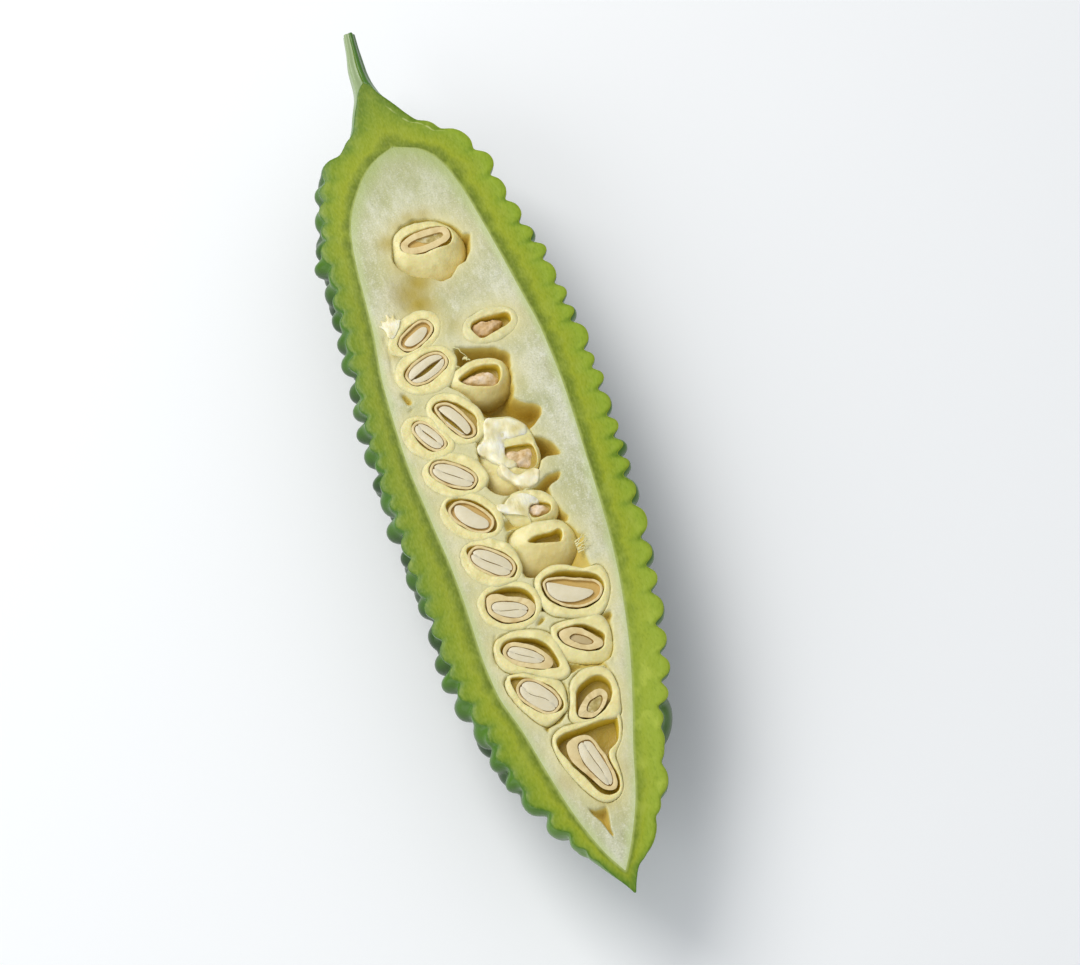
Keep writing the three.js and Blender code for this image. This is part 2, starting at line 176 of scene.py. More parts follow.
class Look:
    """A material under construction, round one Principled shader."""

    def __init__(self, name, **constants):
        self.material = bpy.data.materials.new(name)
        self.material.use_nodes = True
        self.tree = self.material.node_tree
        self.shader = self.tree.nodes["Principled BSDF"]
        for key, value in constants.items():
            self.shader.inputs[key.replace("_", " ")].default_value = value

    def node(self, kind, settings=None, inputs=None, output=0):
        made = self.tree.nodes.new(kind)
        for key, value in (settings or {}).items():
            if key == "stops":
                self.set_stops(made.color_ramp, value)
            else:
                setattr(made, key, value)
        for key, value in (inputs or {}).items():
            self.feed(made.inputs[key], value)
        return Value(self, made.outputs[output])

    def set_stops(self, ramp, stops):
        while len(ramp.elements) < len(stops):
            ramp.elements.new(0.5)
        for element, (place, colour) in zip(ramp.elements, stops):
            element.position = place
            element.color = paint(colour)

    def feed(self, socket, value):
        if isinstance(value, Value):
            self.tree.links.new(value.socket, socket)
        else:
            socket.default_value = value

    def math(self, operation, *values, clamp=False):
        settings = {"operation": operation, "use_clamp": clamp}
        return self.node("ShaderNodeMath", settings, dict(enumerate(values)))

    def clamp(self, value):
        return self.math("ADD", value, 0.0, clamp=True)

    def spread(self, value, low, high):
        """0 below low, 1 above high, and a soft step between."""
        inputs = {"Value": value, "From Min": low, "From Max": high}
        return self.node("ShaderNodeMapRange", {"interpolation_type": "SMOOTHSTEP"}, inputs)

    def attribute(self, name):
        return self.node("ShaderNodeAttribute", {"attribute_name": name}, output="Fac")

    def place(self, scale=(1, 1, 1)):
        """Object coordinates in millimetres, drawn out or squeezed by scale."""
        spot = self.node("ShaderNodeTexCoord", output="Object")
        return self.node("ShaderNodeMapping", {}, {"Vector": spot, "Scale": tuple(s / MM for s in scale)})

    def axis(self, name):
        """The x, y or z of a place in millimetres."""
        return self.node("ShaderNodeSeparateXYZ", {}, {"Vector": self.place()}, output=name)

    def noise(self, size, stretch=(1, 1, 1), detail=3.0, roughness=0.5):
        """Noise whose lumps measure about size millimetres."""
        where = self.place(tuple(1 / (size * s) for s in stretch))
        inputs = {"Vector": where, "Scale": 1.0, "Detail": detail, "Roughness": roughness}
        return self.node("ShaderNodeTexNoise", {}, inputs, output="Fac")

    def ramp(self, value, *stops):
        return self.node("ShaderNodeValToRGB", {"stops": stops}, {"Fac": value}, output="Color")

    def mix(self, share, first, second):
        """The second colour laid over the first, as much as share says."""
        first, second = (c if isinstance(c, Value) else paint(c) for c in (first, second))
        settings = {"data_type": "RGBA"}
        return self.node("ShaderNodeMix", settings, {0: share, 6: first, 7: second}, output=2)

    def bump(self, height, depth, below=None):
        """A normal from a height, with depth in millimetres for a height of 1."""
        inputs = {"Height": height, "Distance": depth * MM, "Strength": 1.0}
        if below:
            inputs["Normal"] = below
        return self.node("ShaderNodeBump", {}, inputs)

    def wear(self, **sockets):
        """Links or sets the shader's own sockets and hands the material over."""
        for key, value in sockets.items():
            self.feed(self.shader.inputs[key.replace("_", " ")], value)
        return self.material


def paint(colour):
    """#rrggbb, as a screen shows it, to the linear red, green, blue and alpha of a socket."""
    parts = [int(colour[i : i + 2], 16) / 255 for i in (1, 3, 5)]
    return tuple(c / 12.92 if c <= 0.04045 else ((c + 0.055) / 1.055) ** 2.4 for c in parts) + (1.0,)


# %% The floor's finish
floor_look = Look("pale_floor", Roughness=0.9)
floor_shade = floor_look.mix(floor_look.noise(400), "#f4f5f7", "#f7f8f9")
floor.data.materials.append(floor_look.wear(Base_Color=floor_shade))

# %% [markdown]
# ## Curves and meshes
#
# Outlines are short lists of points with a smooth curve through them that never swings past a point.
# Surfaces are lofted: loops of equally many points are laid one after another and joined by quads.


# %% Smooth outlines and soft steps
def through(points, at):
    """Reads a smooth curve through (x, y) points at the places at. It keeps between its points."""
    x, y = np.array(sorted(points), float).T
    step = np.diff(x)
    slope = np.diff(y) / step
    tangent = np.zeros_like(y)
    tangent[0], tangent[-1] = slope[0], slope[-1]
    for i in range(1, len(x) - 1):
        if slope[i - 1] * slope[i] > 0:
            before, after = 2 * step[i] + step[i - 1], step[i] + 2 * step[i - 1]
            tangent[i] = (before + after) / (before / slope[i - 1] + after / slope[i])
    at = np.asarray(at, float)
    i = np.clip(np.searchsorted(x, at, side="right") - 1, 0, len(step) - 1)
    t = np.clip((at - x[i]) / step[i], 0, 1)
    ends = y[i] * (1 + 2 * t) * (1 - t) ** 2 + y[i + 1] * t * t * (3 - 2 * t)
    return ends + step[i] * (tangent[i] * t * (1 - t) ** 2 + tangent[i + 1] * t * t * (t - 1))


def soft_step(value, start, end):
    t = np.clip((value - start) / (end - start), 0, 1)
    return t * t * (3 - 2 * t)


def smooth(grid):
    """Evens a grid of heights out with the next ones along and across, in place."""
    grid[1:-1] = (grid[:-2] + 2 * grid[1:-1] + grid[2:]) / 4
    grid[:, 1:-1] = (grid[:, :-2] + 2 * grid[:, 1:-1] + grid[:, 2:]) / 4


# %% Selecting and welding
def select_only(*pieces):
    bpy.ops.object.select_all(action="DESELECT")
    for piece in pieces:
        piece.select_set(True)
    bpy.context.view_layer.objects.active = pieces[-1]


def edit(piece):
    """Goes into edit mode with this piece alone and nothing selected."""
    select_only(piece)
    bpy.ops.object.mode_set(mode="EDIT")
    bpy.ops.mesh.select_all(action="DESELECT")


def weld_and_face_out(piece, distance=0.002):
    """Merges points that coincide and turns all faces outwards."""
    edit(piece)
    bpy.ops.mesh.select_all(action="SELECT")
    bpy.ops.mesh.remove_doubles(threshold=distance * MM)
    bpy.ops.mesh.dissolve_degenerate(threshold=distance * MM)
    bpy.ops.mesh.select_all(action="SELECT")
    bpy.ops.mesh.normals_make_consistent(inside=False)
    bpy.ops.object.mode_set(mode="OBJECT")
    bpy.ops.object.shade_smooth_by_angle(angle=math.radians(50))


# %% From loops to a closed mesh
def loft(name, loops, marks=None, finish=None):
    """A closed skin over loops[i][j] = (x, y, z) in millimetres, with a face over each end.

    marks are numbers kept at each point for the finish, and finish[j] is the material of the quads
    that start at column j."""
    loops = np.asarray(loops, float)
    rows, columns = loops.shape[:2]
    index = np.arange(rows * columns).reshape(rows, columns)
    ahead = np.roll(index, -1, axis=1)
    quads = np.stack([index[:-1], ahead[:-1], ahead[1:], index[1:]], axis=-1).reshape(-1, 4)
    faces = quads.tolist() + [index[0].tolist(), index[-1].tolist()]
    mesh = bpy.data.meshes.new(name)
    mesh.from_pydata((loops.reshape(-1, 3) * MM).tolist(), [], faces)
    for mark, values in (marks or {}).items():
        layer = mesh.attributes.new(mark, "FLOAT", "POINT")
        layer.data.foreach_set("value", np.asarray(values, float).ravel().astype(np.float32))
    if finish is not None:
        slots = np.tile(np.asarray(finish), rows - 1).tolist() + [0, 0]
        mesh.polygons.foreach_set("material_index", slots)
    piece = bpy.data.objects.new(name, mesh)
    bpy.context.collection.objects.link(piece)
    weld_and_face_out(piece)
    return piece


def settle(piece, slot, *nodes):
    """The piece takes the place of its nodes and rides on the one body."""
    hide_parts(*nodes)
    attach(piece, "root")
    print(f"{piece.name}: {len(piece.data.polygons)} faces")


# %% [markdown]
# ## The outline of the fruit
#
# Measured across at places along the fruit: left and right are how far the valleys between the warts
# reach from the middle plane, in the cut. The pith has an outline of its own, which the wall's inside
# shares. Past the shoulder the round neck bends down under the cut, so the flat face runs out in a
# point there and the stalk stays whole.

# %% Outlines as (y, x) in millimetres
LEFT = [(TIP, -0.9), (-105, -3.3), (-100, -5.3), (-95, -7.5), (-90, -9.9), (-80, -13.8), (-70, -17.2),
        (-60, -19.8), (-50, -20.9), (-40, -21.5), (-25, -22.3), (-5, -22.6), (20, -21.6), (40, -20.6),
        (50, -20.3), (60, -18.6), (68, -16.4), (74, -13.2), (80, -7.6), (85, -5.2), (92, -4.0),
        (100, -3.6), (105, -2.75), (STALK_END, -2.15)]
RIGHT = [(TIP, -0.5), (-105, 1.2), (-100, 4.0), (-95, 6.6), (-90, 8.2), (-80, 11.2), (-70, 15.4),
         (-60, 18.8), (-50, 20.8), (-40, 22.6), (-25, 24.2), (-5, 25.0), (20, 24.4), (40, 22.4),
         (50, 20.4), (60, 18.2), (68, 16.6), (74, 13.6), (80, 7.4), (85, 4.0), (92, 1.3),
         (100, 0.35), (105, 0.35), (STALK_END, 0.5)]
PITH_TOP, PITH_END = 75.3, -104.6
PITH_LEFT = [(PITH_END, -1.3), (-100, -3.9), (-90, -7.6), (-80, -10.1), (-70, -12.3), (-60, -15.0),
             (-50, -15.7), (-40, -15.7), (-30, -16.1), (-20, -17.0), (0, -18.4), (15, -18.2),
             (30, -16.7), (50, -15.5), (57, -14.4), (62, -12.6), (66, -10.4), (70, -7.6), (73.5, -3.6),
             (PITH_TOP, 0.2)]
PITH_RIGHT = [(PITH_END, -1.1), (-100, 1.4), (-90, 5.6), (-80, 8.3), (-70, 11.3), (-60, 14.0),
              (-50, 16.0), (-40, 17.5), (-30, 18.4), (-15, 19.0), (5, 19.5), (20, 18.9), (30, 17.5),
              (50, 14.4), (60, 12.5), (66, 10.8), (70, 8.9), (73.5, 5.4), (PITH_TOP, 0.4)]
DROP = 2.7  # how far the stalk's middle line lies under the cut
FOOT = 0.0  # the table


def drop_at(y):
    return DROP * soft_step(np.asarray(y, float), NECK - 12, NECK + 6)


# %% [markdown]
# ## Warts
#
# The skin is packed with blunt beads: big oblong ones in lengthwise rows, small round ones in between.
# They are planned flat, as (y, angle round the fruit, half length, half width, height). Rows come
# first, then random small beads are tried and kept where they still fit, as one would throw darts.
# A row runs right under the left edge of the cut, and on the right the knife went through a row.

# %% The plan of the warts
dice = random.Random(11)


def half_width_at(y):
    return float(through(RIGHT, y) - through(LEFT, y)) / 2


def ripeness(y):
    """1 where warts are full grown, 0 at the smooth point and neck."""
    return float(soft_step(y, TIP - 4, TIP + 26) * (1 - soft_step(y, NECK - 20, NECK - 7)))


def row_of_warts(angle, y, end, half_length, half_width, height, sway=0.02):
    """Warts in a lengthwise row from y up to end, each next to the last."""
    row = []
    while y < end:
        grow = 0.55 + 0.45 * ripeness(y)
        long = grow * half_length * dice.uniform(0.75, 1.3)
        y += long * 0.97
        wide = grow * half_width * dice.uniform(0.85, 1.15)
        row.append((y, angle + dice.uniform(-sway, sway), long, wide, height * dice.uniform(0.85, 1.15)))
        y += long * 0.97
    return row


warts = row_of_warts(0.05, TIP + 6, NECK - 12, 3.1, 3.2, 3.6, 0.04)
warts += row_of_warts(math.pi - 0.04, TIP + 5, NECK - 14, 2.7, 2.4, 2.5, 0.03)
warts += [(-98, 0.1, 4.4, 3.0, 4.2), (-87, 0.1, 4.6, 3.4, 4.6), (-79, 0.06, 3.6, 3.2, 3.8)]
warts += row_of_warts(math.pi - 0.24, TIP + 9, NECK - 12, 3.0, 3.6, 4.4, 0.08)
warts += row_of_warts(math.pi - 0.46, TIP + 11, NECK - 12, 3.6, 3.6, 4.6, 0.08)
warts += [(-73, 0.34, 7.5, 4.6, 5.6), (65.5, 0.08, 4.2, 3.2, 3.4)]
for angle in (0.62, 1.2, 1.75, 2.25):
    warts += row_of_warts(angle, TIP + 16, NECK - 12, 5.6, 3.7, 3.6, 0.05)


def fits(wart, others):
    """Whether a wart has its place to itself, apart from a little squeezing."""
    y, angle, long, wide, _ = wart
    along = (others[:, 0] - y) / (others[:, 2] + long)
    around = (others[:, 1] - angle) * half_width_at(y) / (others[:, 3] + wide)
    return bool((np.hypot(along, around) > 0.86).all())


for half_width in (2.6, 2.0, 1.5, 1.1):
    for _ in range(1500):
        y, angle = dice.uniform(TIP + 10, NECK - 12), dice.uniform(-0.12, math.pi + 0.08)
        wide = half_width * (0.5 + 0.5 * ripeness(y))
        wart = (y, angle, wide * dice.uniform(1, 1.35), wide, 1.15 * wide)
        if fits(wart, np.array(warts)):
            warts.append(wart)
print("warts:", len(warts))


# %% The height of the skin over its valleys
# Low welts that the rows of warts stand on: angle round the fruit, height in millimetres
WELTS = [(0.05, 0.8), (0.62, 1), (1.2, 1), (1.75, 1), (2.25, 1), (2.78, 1.8), (3.1, 0.7)]


def skin_height(y, angle, width):
    """How far the skin stands out at a grid of places along (rows) and round (columns) the fruit."""
    height = np.zeros((len(y), len(angle[0])))
    for wart_y, wart_angle, long, wide, tall in warts:
        near = np.abs(y - wart_y) < long
        along = (y[near, None] - wart_y) / long
        around = (angle[near] - wart_angle) * width[near, None] / wide
        inside = np.clip(1 - (along**2 + around**2) ** 1.15, 0, 1)
        bead = tall * ripeness(wart_y) * inside**0.55
        height[near] = np.maximum(height[near], bead)
    for wart_angle, tall in WELTS:
        welt = np.exp(-(((angle - wart_angle) * width[:, None] / 2.4) ** 2))
        shown = soft_step(y, TIP + 1, TIP + 12) * (1 - soft_step(y, NECK - 8, NECK + 4))
        height = np.maximum(height, (tall * welt) * shown[:, None])
    for _ in range(2):
        smooth(height)
    ribs = 0.1 * width[:, None] * np.cos(5 * angle - 0.6) * soft_step(y, NECK - 5, NECK + 3)[:, None]
    return height + ribs


# %% [markdown]
# ## The green wall
#
# One closed surface: the warty outside, the flat face that the knife left, and the smooth inside that
# the pith lies in. Every cross-section is a C-shaped loop, so the wall is a loft of such loops along
# the fruit. Past the ends of the pith the inner part of the loop shrinks to one point.

# %% Loops of the wall
OUTSIDE, STRIP, INSIDE = 176, 6, 12


def wall_loops(y):
    """The loops, and from them the height of the warts, the outside and the inside."""
    left, right = through(LEFT, y), through(RIGHT, y)
    wide, middle, drop = (right - left) / 2, (right + left) / 2, drop_at(y)
    under = np.arcsin(np.clip(drop / wide, 0, 1))
    share = np.linspace(0, 1, OUTSIDE + 1)
    angle = -under[:, None] + share * (math.pi + 2 * under[:, None])
    height = skin_height(y, angle, wide)
    slope = np.gradient(wide, y)[:, None]
    out = np.stack([np.cos(angle), -slope * np.ones_like(angle), -np.sin(angle)], -1)
    out /= np.linalg.norm(out, axis=-1, keepdims=True)
    skin = np.stack([middle[:, None] + wide[:, None] * np.cos(angle), y[:, None] * np.ones_like(angle),
                     CUT - drop[:, None] - wide[:, None] * np.sin(angle)], -1)
    skin += out * height[..., None]
    skin[..., 2] = np.clip(skin[..., 2], FOOT, CUT)
    skin[:, [0, -1], 2] -= 0.12 * np.clip(1 - drop / DROP, 0, 1)[:, None]

    centre = through([(TIP, -0.7), (PITH_END, -1.2), (PITH_TOP, 0.3), (NECK, -1.3), (STALK_END, -0.8)], y)
    held = (y > PITH_END) & (y < PITH_TOP)
    inner_left = np.where(held, through(PITH_LEFT, y), centre)
    inner_right = np.where(held, through(PITH_RIGHT, y), centre)
    inner_z = np.where(under < math.pi / 2, CUT, CUT - drop + wide)
    turn = np.linspace(math.pi, 0, INSIDE + 1)
    inside = np.stack([
        (inner_left + inner_right)[:, None] / 2 + (inner_right - inner_left)[:, None] / 2 * np.cos(turn),
        y[:, None] * np.ones_like(turn),
        inner_z[:, None] - (inner_right - inner_left)[:, None] / 2 * np.sin(turn)], -1)

    def strip(rim, edge):
        """From the rim to the pith in the flat face, its first step a fine round-off."""
        steps = np.concatenate([[0.03], np.linspace(0, 1, STRIP)[1:-1]])
        flat = rim[:, None] * (1 - steps[:, None]) + edge[:, None] * steps[:, None]
        flat[..., 2] = inner_z[:, None]
        return flat

    left_strip = strip(skin[:, -1], inside[:, 0])
    right_strip = strip(skin[:, 0], inside[:, -1])[:, ::-1]
    loops = np.concatenate([skin, left_strip, inside, right_strip], axis=1)
    return loops, height, skin, inside


def wall_marks(loops, height, skin, inside):
    """Distances from the skin and from the pith, in the cut, the height of the warts, and how pale
    the skin is on the left of the neck and stalk."""
    rows, columns = loops.shape[:2]
    side = np.arange(columns) < OUTSIDE + STRIP + INSIDE // 2
    rim = np.where(side[None, :, None], skin[:, -1:], skin[:, :1])
    edge = np.where(side[None, :, None], inside[:, :1], inside[:, -1:])
    from_rim = np.linalg.norm((loops - rim)[..., :2], axis=-1)
    beyond = np.maximum(loops[..., 1] - PITH_TOP, PITH_END - loops[..., 1]).clip(0)
    from_pith = np.hypot(np.linalg.norm((loops - edge)[..., :2], axis=-1), beyond)
    tall = np.where(side[None], height[:, -1:], height[:, :1])
    tall[:, : OUTSIDE + 1] = height
    pale = np.zeros((rows, columns))
    turn = np.linspace(0, math.pi, OUTSIDE + 1)
    pale[:, : OUTSIDE + 1] = soft_step(loops[:, :1, 1], NECK - 14, NECK + 2) * soft_step(turn, 1.1, 2.0)
    return {"from_rim": from_rim, "from_pith": from_pith, "tall": tall, "pale": pale}


# %% The meshes of the wall and the stalk
def make_wall(name, y):
    """A stretch of the wall, its skin in the first material and its flesh in the second."""
    loops, *parts = wall_loops(y)
    flesh = (np.arange(loops.shape[1]) >= OUTSIDE).astype(int)
    return loft(name, loops, wall_marks(loops, *parts), flesh)


point = TIP + 6 * np.linspace(0, 1, 16)[:-1] ** 1.5
wall = make_wall("green_flesh", np.concatenate([point, np.linspace(TIP + 6, NECK, 390)]))
settle(wall, "wall", "green_wall")
stalk = make_wall("green_stalk", np.linspace(NECK, STALK_END, 50))
settle(stalk, "stalk", "stalk")


# %% Skin and flesh finishes
def skin_look():
    look = Look("warty_skin", Coat_Weight=0.12, Coat_Roughness=0.12, Specular_IOR_Level=0.35)
    # Painted light and shade: the skin is painted lighter green near the cut, where light falls from
    # above and shines through the rim, and darker lower down.
    depth = look.axis("Z")
    lit = look.spread(depth, CUT - 6.5, CUT - 0.3)
    tone = look.noise(9.0, detail=2.0)
    veins = look.noise(2.4, stretch=(1, 2.5, 1), detail=3.0)
    dark = look.mix(tone, "#143207", "#2c4d0e")
    lit_green = look.mix(tone, "#3a650c", "#527d12")
    green = look.mix(lit, dark, lit_green)
    # Painted shade: the valleys between the warts are pulled towards a duller mid green, darker than the
    # lit band near the cut.
    valley = 1 - look.spread(look.attribute("tall"), 0.0, 1.2)
    green = look.mix(valley * 0.35, green, "#33601a")
    along = look.axis("Y")
    pale = 1 - look.spread(along, TIP + 2, TIP + 32)
    green = look.mix(pale * 0.55, green, "#76974a")
    green = look.mix(look.attribute("pale") * 0.85, green, look.mix(veins, "#8a9c6c", "#a5b58a"))
    pores = look.noise(0.35, detail=2.0)
    normal = look.bump(pores, 0.03, look.bump(veins, 0.15))
    rough = 0.24 + veins * 0.16
    return look.wear(Base_Color=green, Roughness=rough, Normal=normal)


def flesh_look():
    look = Look("cut_green_flesh", Coat_Weight=0.06, Coat_Roughness=0.25, Specular_IOR_Level=0.3)
    rim, pith = look.attribute("from_rim"), look.attribute("from_pith")
    cloud = look.noise(2.6, detail=4.0) - 0.5
    share = look.clamp(rim / (rim + pith + 0.02) + cloud * 0.3)
    green = look.ramp(share, (0.0, "#507509"), (0.15, "#708c0e"), (0.4, "#8b9d14"), (0.62, "#96a216"),
                      (0.82, "#71820e"), (1.0, "#606f0e"))
    blotch = look.spread(look.noise(3.2, stretch=(1, 1.4, 1), detail=2.0), 0.5, 0.7)
    green = look.mix(blotch * 0.4, green, "#9aa834")
    where = look.axis("X")
    along = look.axis("Y")
    # Painted light and shade: on the right, where the knife cut through warts, their flesh is painted
    # brighter lime, as lit and glowing, and the notches between warts along the rim darker green, as
    # shade in the grooves.
    lit_lobe = look.spread(look.attribute("tall"), 0.6, 3.0) * (1 - look.spread(rim, 0.8, 4.5))
    green = look.mix(lit_lobe * look.spread(where, -6, 6) * 0.6, green, "#9fb62e")
    notch_shade = (1 - look.spread(look.attribute("tall"), 0.2, 1.6)) * (1 - look.spread(rim, 0.4, 3.2))
    green = look.mix(notch_shade * 0.55, green, "#4f7410")
    lower_right = look.spread(where, 0, 16) * (1 - look.spread(along, -75, -15))
    green = look.mix(lower_right * 0.75, green, look.mix(blotch, "#9db034", "#b4c348"))
    # Painted shade: the flesh along the left is painted a darker olive, most along the middle of the
    # fruit.
    left = 1 - look.spread(where + cloud * 6, -20, -4)
    shade = look.spread(along, -70, 10) * (1 - look.spread(along, 34, 66))
    green = look.mix(left * (0.05 + shade * 0.3), green, look.mix(share, "#5c7a0c", "#5a690e"))
    green = look.mix(look.spread(along, 70, 96) * 0.5, green, "#738420")
    pale = 1 - look.spread(pith + cloud * 0.5, 0.05, 0.7)
    green = look.mix(pale, green, "#a4b05e")
    edge = 1 - look.spread(rim, 0.0, 0.5)
    green = look.mix(edge * 0.6, green, "#3f6b12")
    line = look.spread(rim + cloud, 1.5, 1.8) - look.spread(rim + cloud, 1.9, 2.2)
    line = line * look.spread(along, 74, 79) * look.spread(where, 1, 3) * look.spread(cloud, -0.1, 0.1)
    green = look.mix(line * 0.7, green, "#c8cf88")
    grain = look.noise(0.5, stretch=(1, 2, 1), detail=2.0)
    green = look.mix(look.spread(grain, 0.45, 0.7) * 0.22, green, "#a2b044")
    green = look.mix((1 - look.spread(grain, 0.3, 0.47)) * 0.2, green, "#56700e")
    normal = look.bump(grain, 0.05, look.bump(cloud, 0.15))
    return look.wear(Base_Color=green, Roughness=0.42, Normal=normal)


for piece in (wall, stalk):
    piece.data.materials.append(skin_look())
    piece.data.materials.append(flesh_look())

# %% [markdown]
# ## Reading the frame's seeds
#
# The frame holds the pulp, coat and kernel of each seed as faceted eggs. Their outlines in the cut
# give the place, size and turn of the real ones. For points spread evenly round an ellipse the mean
# square along an axis is half the square of its half length, so the moments give the ellipse.


# %% Outlines in the cut
def points_of(node):
    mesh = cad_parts[node].data
    return np.unique(np.round(np.array([v.co for v in mesh.vertices]) / MM, 4), axis=0)


def hull_of(points):
    """The points of the convex outline, counterclockwise."""
    points = sorted(map(tuple, points))

    def turns_left(a, b, c):
        return (b[0] - a[0]) * (c[1] - a[1]) - (b[1] - a[1]) * (c[0] - a[0]) > 1e-9

    def half(points):
        chain = []
        for p in points:
            while len(chain) > 1 and not turns_left(chain[-2], chain[-1], p):
                chain.pop()
            chain.append(p)
        return chain[:-1]

    return np.array(half(points) + half(points[::-1]))


def ellipse_of(points):
    """(middle, half length, half width, angle of the length) of points round an ellipse."""
    middle = points.mean(0)
    spread = (points - middle).T @ (points - middle) / len(points)
    size, axes = np.linalg.eigh(spread)
    return middle, math.sqrt(2 * size[1]), math.sqrt(2 * size[0]), math.atan2(axes[1, 1], axes[0, 1])


def top_outline(node):
    points = points_of(node)
    return points[points[:, 2] > CUT - 0.01][:, :2]


# %% Outlines as points
def oval(middle, long, wide, turn, square=2.5, count=64):
    """count points round an oval, blunter than an ellipse where square is above 2."""
    t = np.linspace(0, 2 * math.pi, count, endpoint=False)
    along = long * np.sign(np.cos(t)) * np.abs(np.cos(t)) ** (2 / square)
    across = wide * np.sign(np.sin(t)) * np.abs(np.sin(t)) ** (2 / square)
    return np.stack([middle[0] + along * math.cos(turn) - across * math.sin(turn),
                     middle[1] + along * math.sin(turn) + across * math.cos(turn)], -1)


def evenly(loop, count):
    """count points at equal distances along a closed line."""
    loop = np.vstack([loop, loop[:1]])
    length = np.concatenate([[0], np.cumsum(np.linalg.norm(np.diff(loop, axis=0), axis=1))])
    at = np.linspace(0, length[-1], count, endpoint=False)
    return np.stack([np.interp(at, length, loop[:, k]) for k in (0, 1)], -1)


def rounded(corners, count=64):
    """count points on a smooth closed curve through corners."""
    p = np.asarray(corners, float)
    before, after, last = np.roll(p, 1, 0), np.roll(p, -1, 0), np.roll(p, -2, 0)
    t = np.linspace(0, 1, 20, endpoint=False)[:, None, None]
    curve = 2 * p + (after - before) * t + (2 * before - 5 * p + 4 * after - last) * t**2
    curve = 0.5 * (curve + (3 * p - before - 3 * after + last) * t**3)
    return evenly(curve.transpose(1, 0, 2).reshape(-1, 2), count)
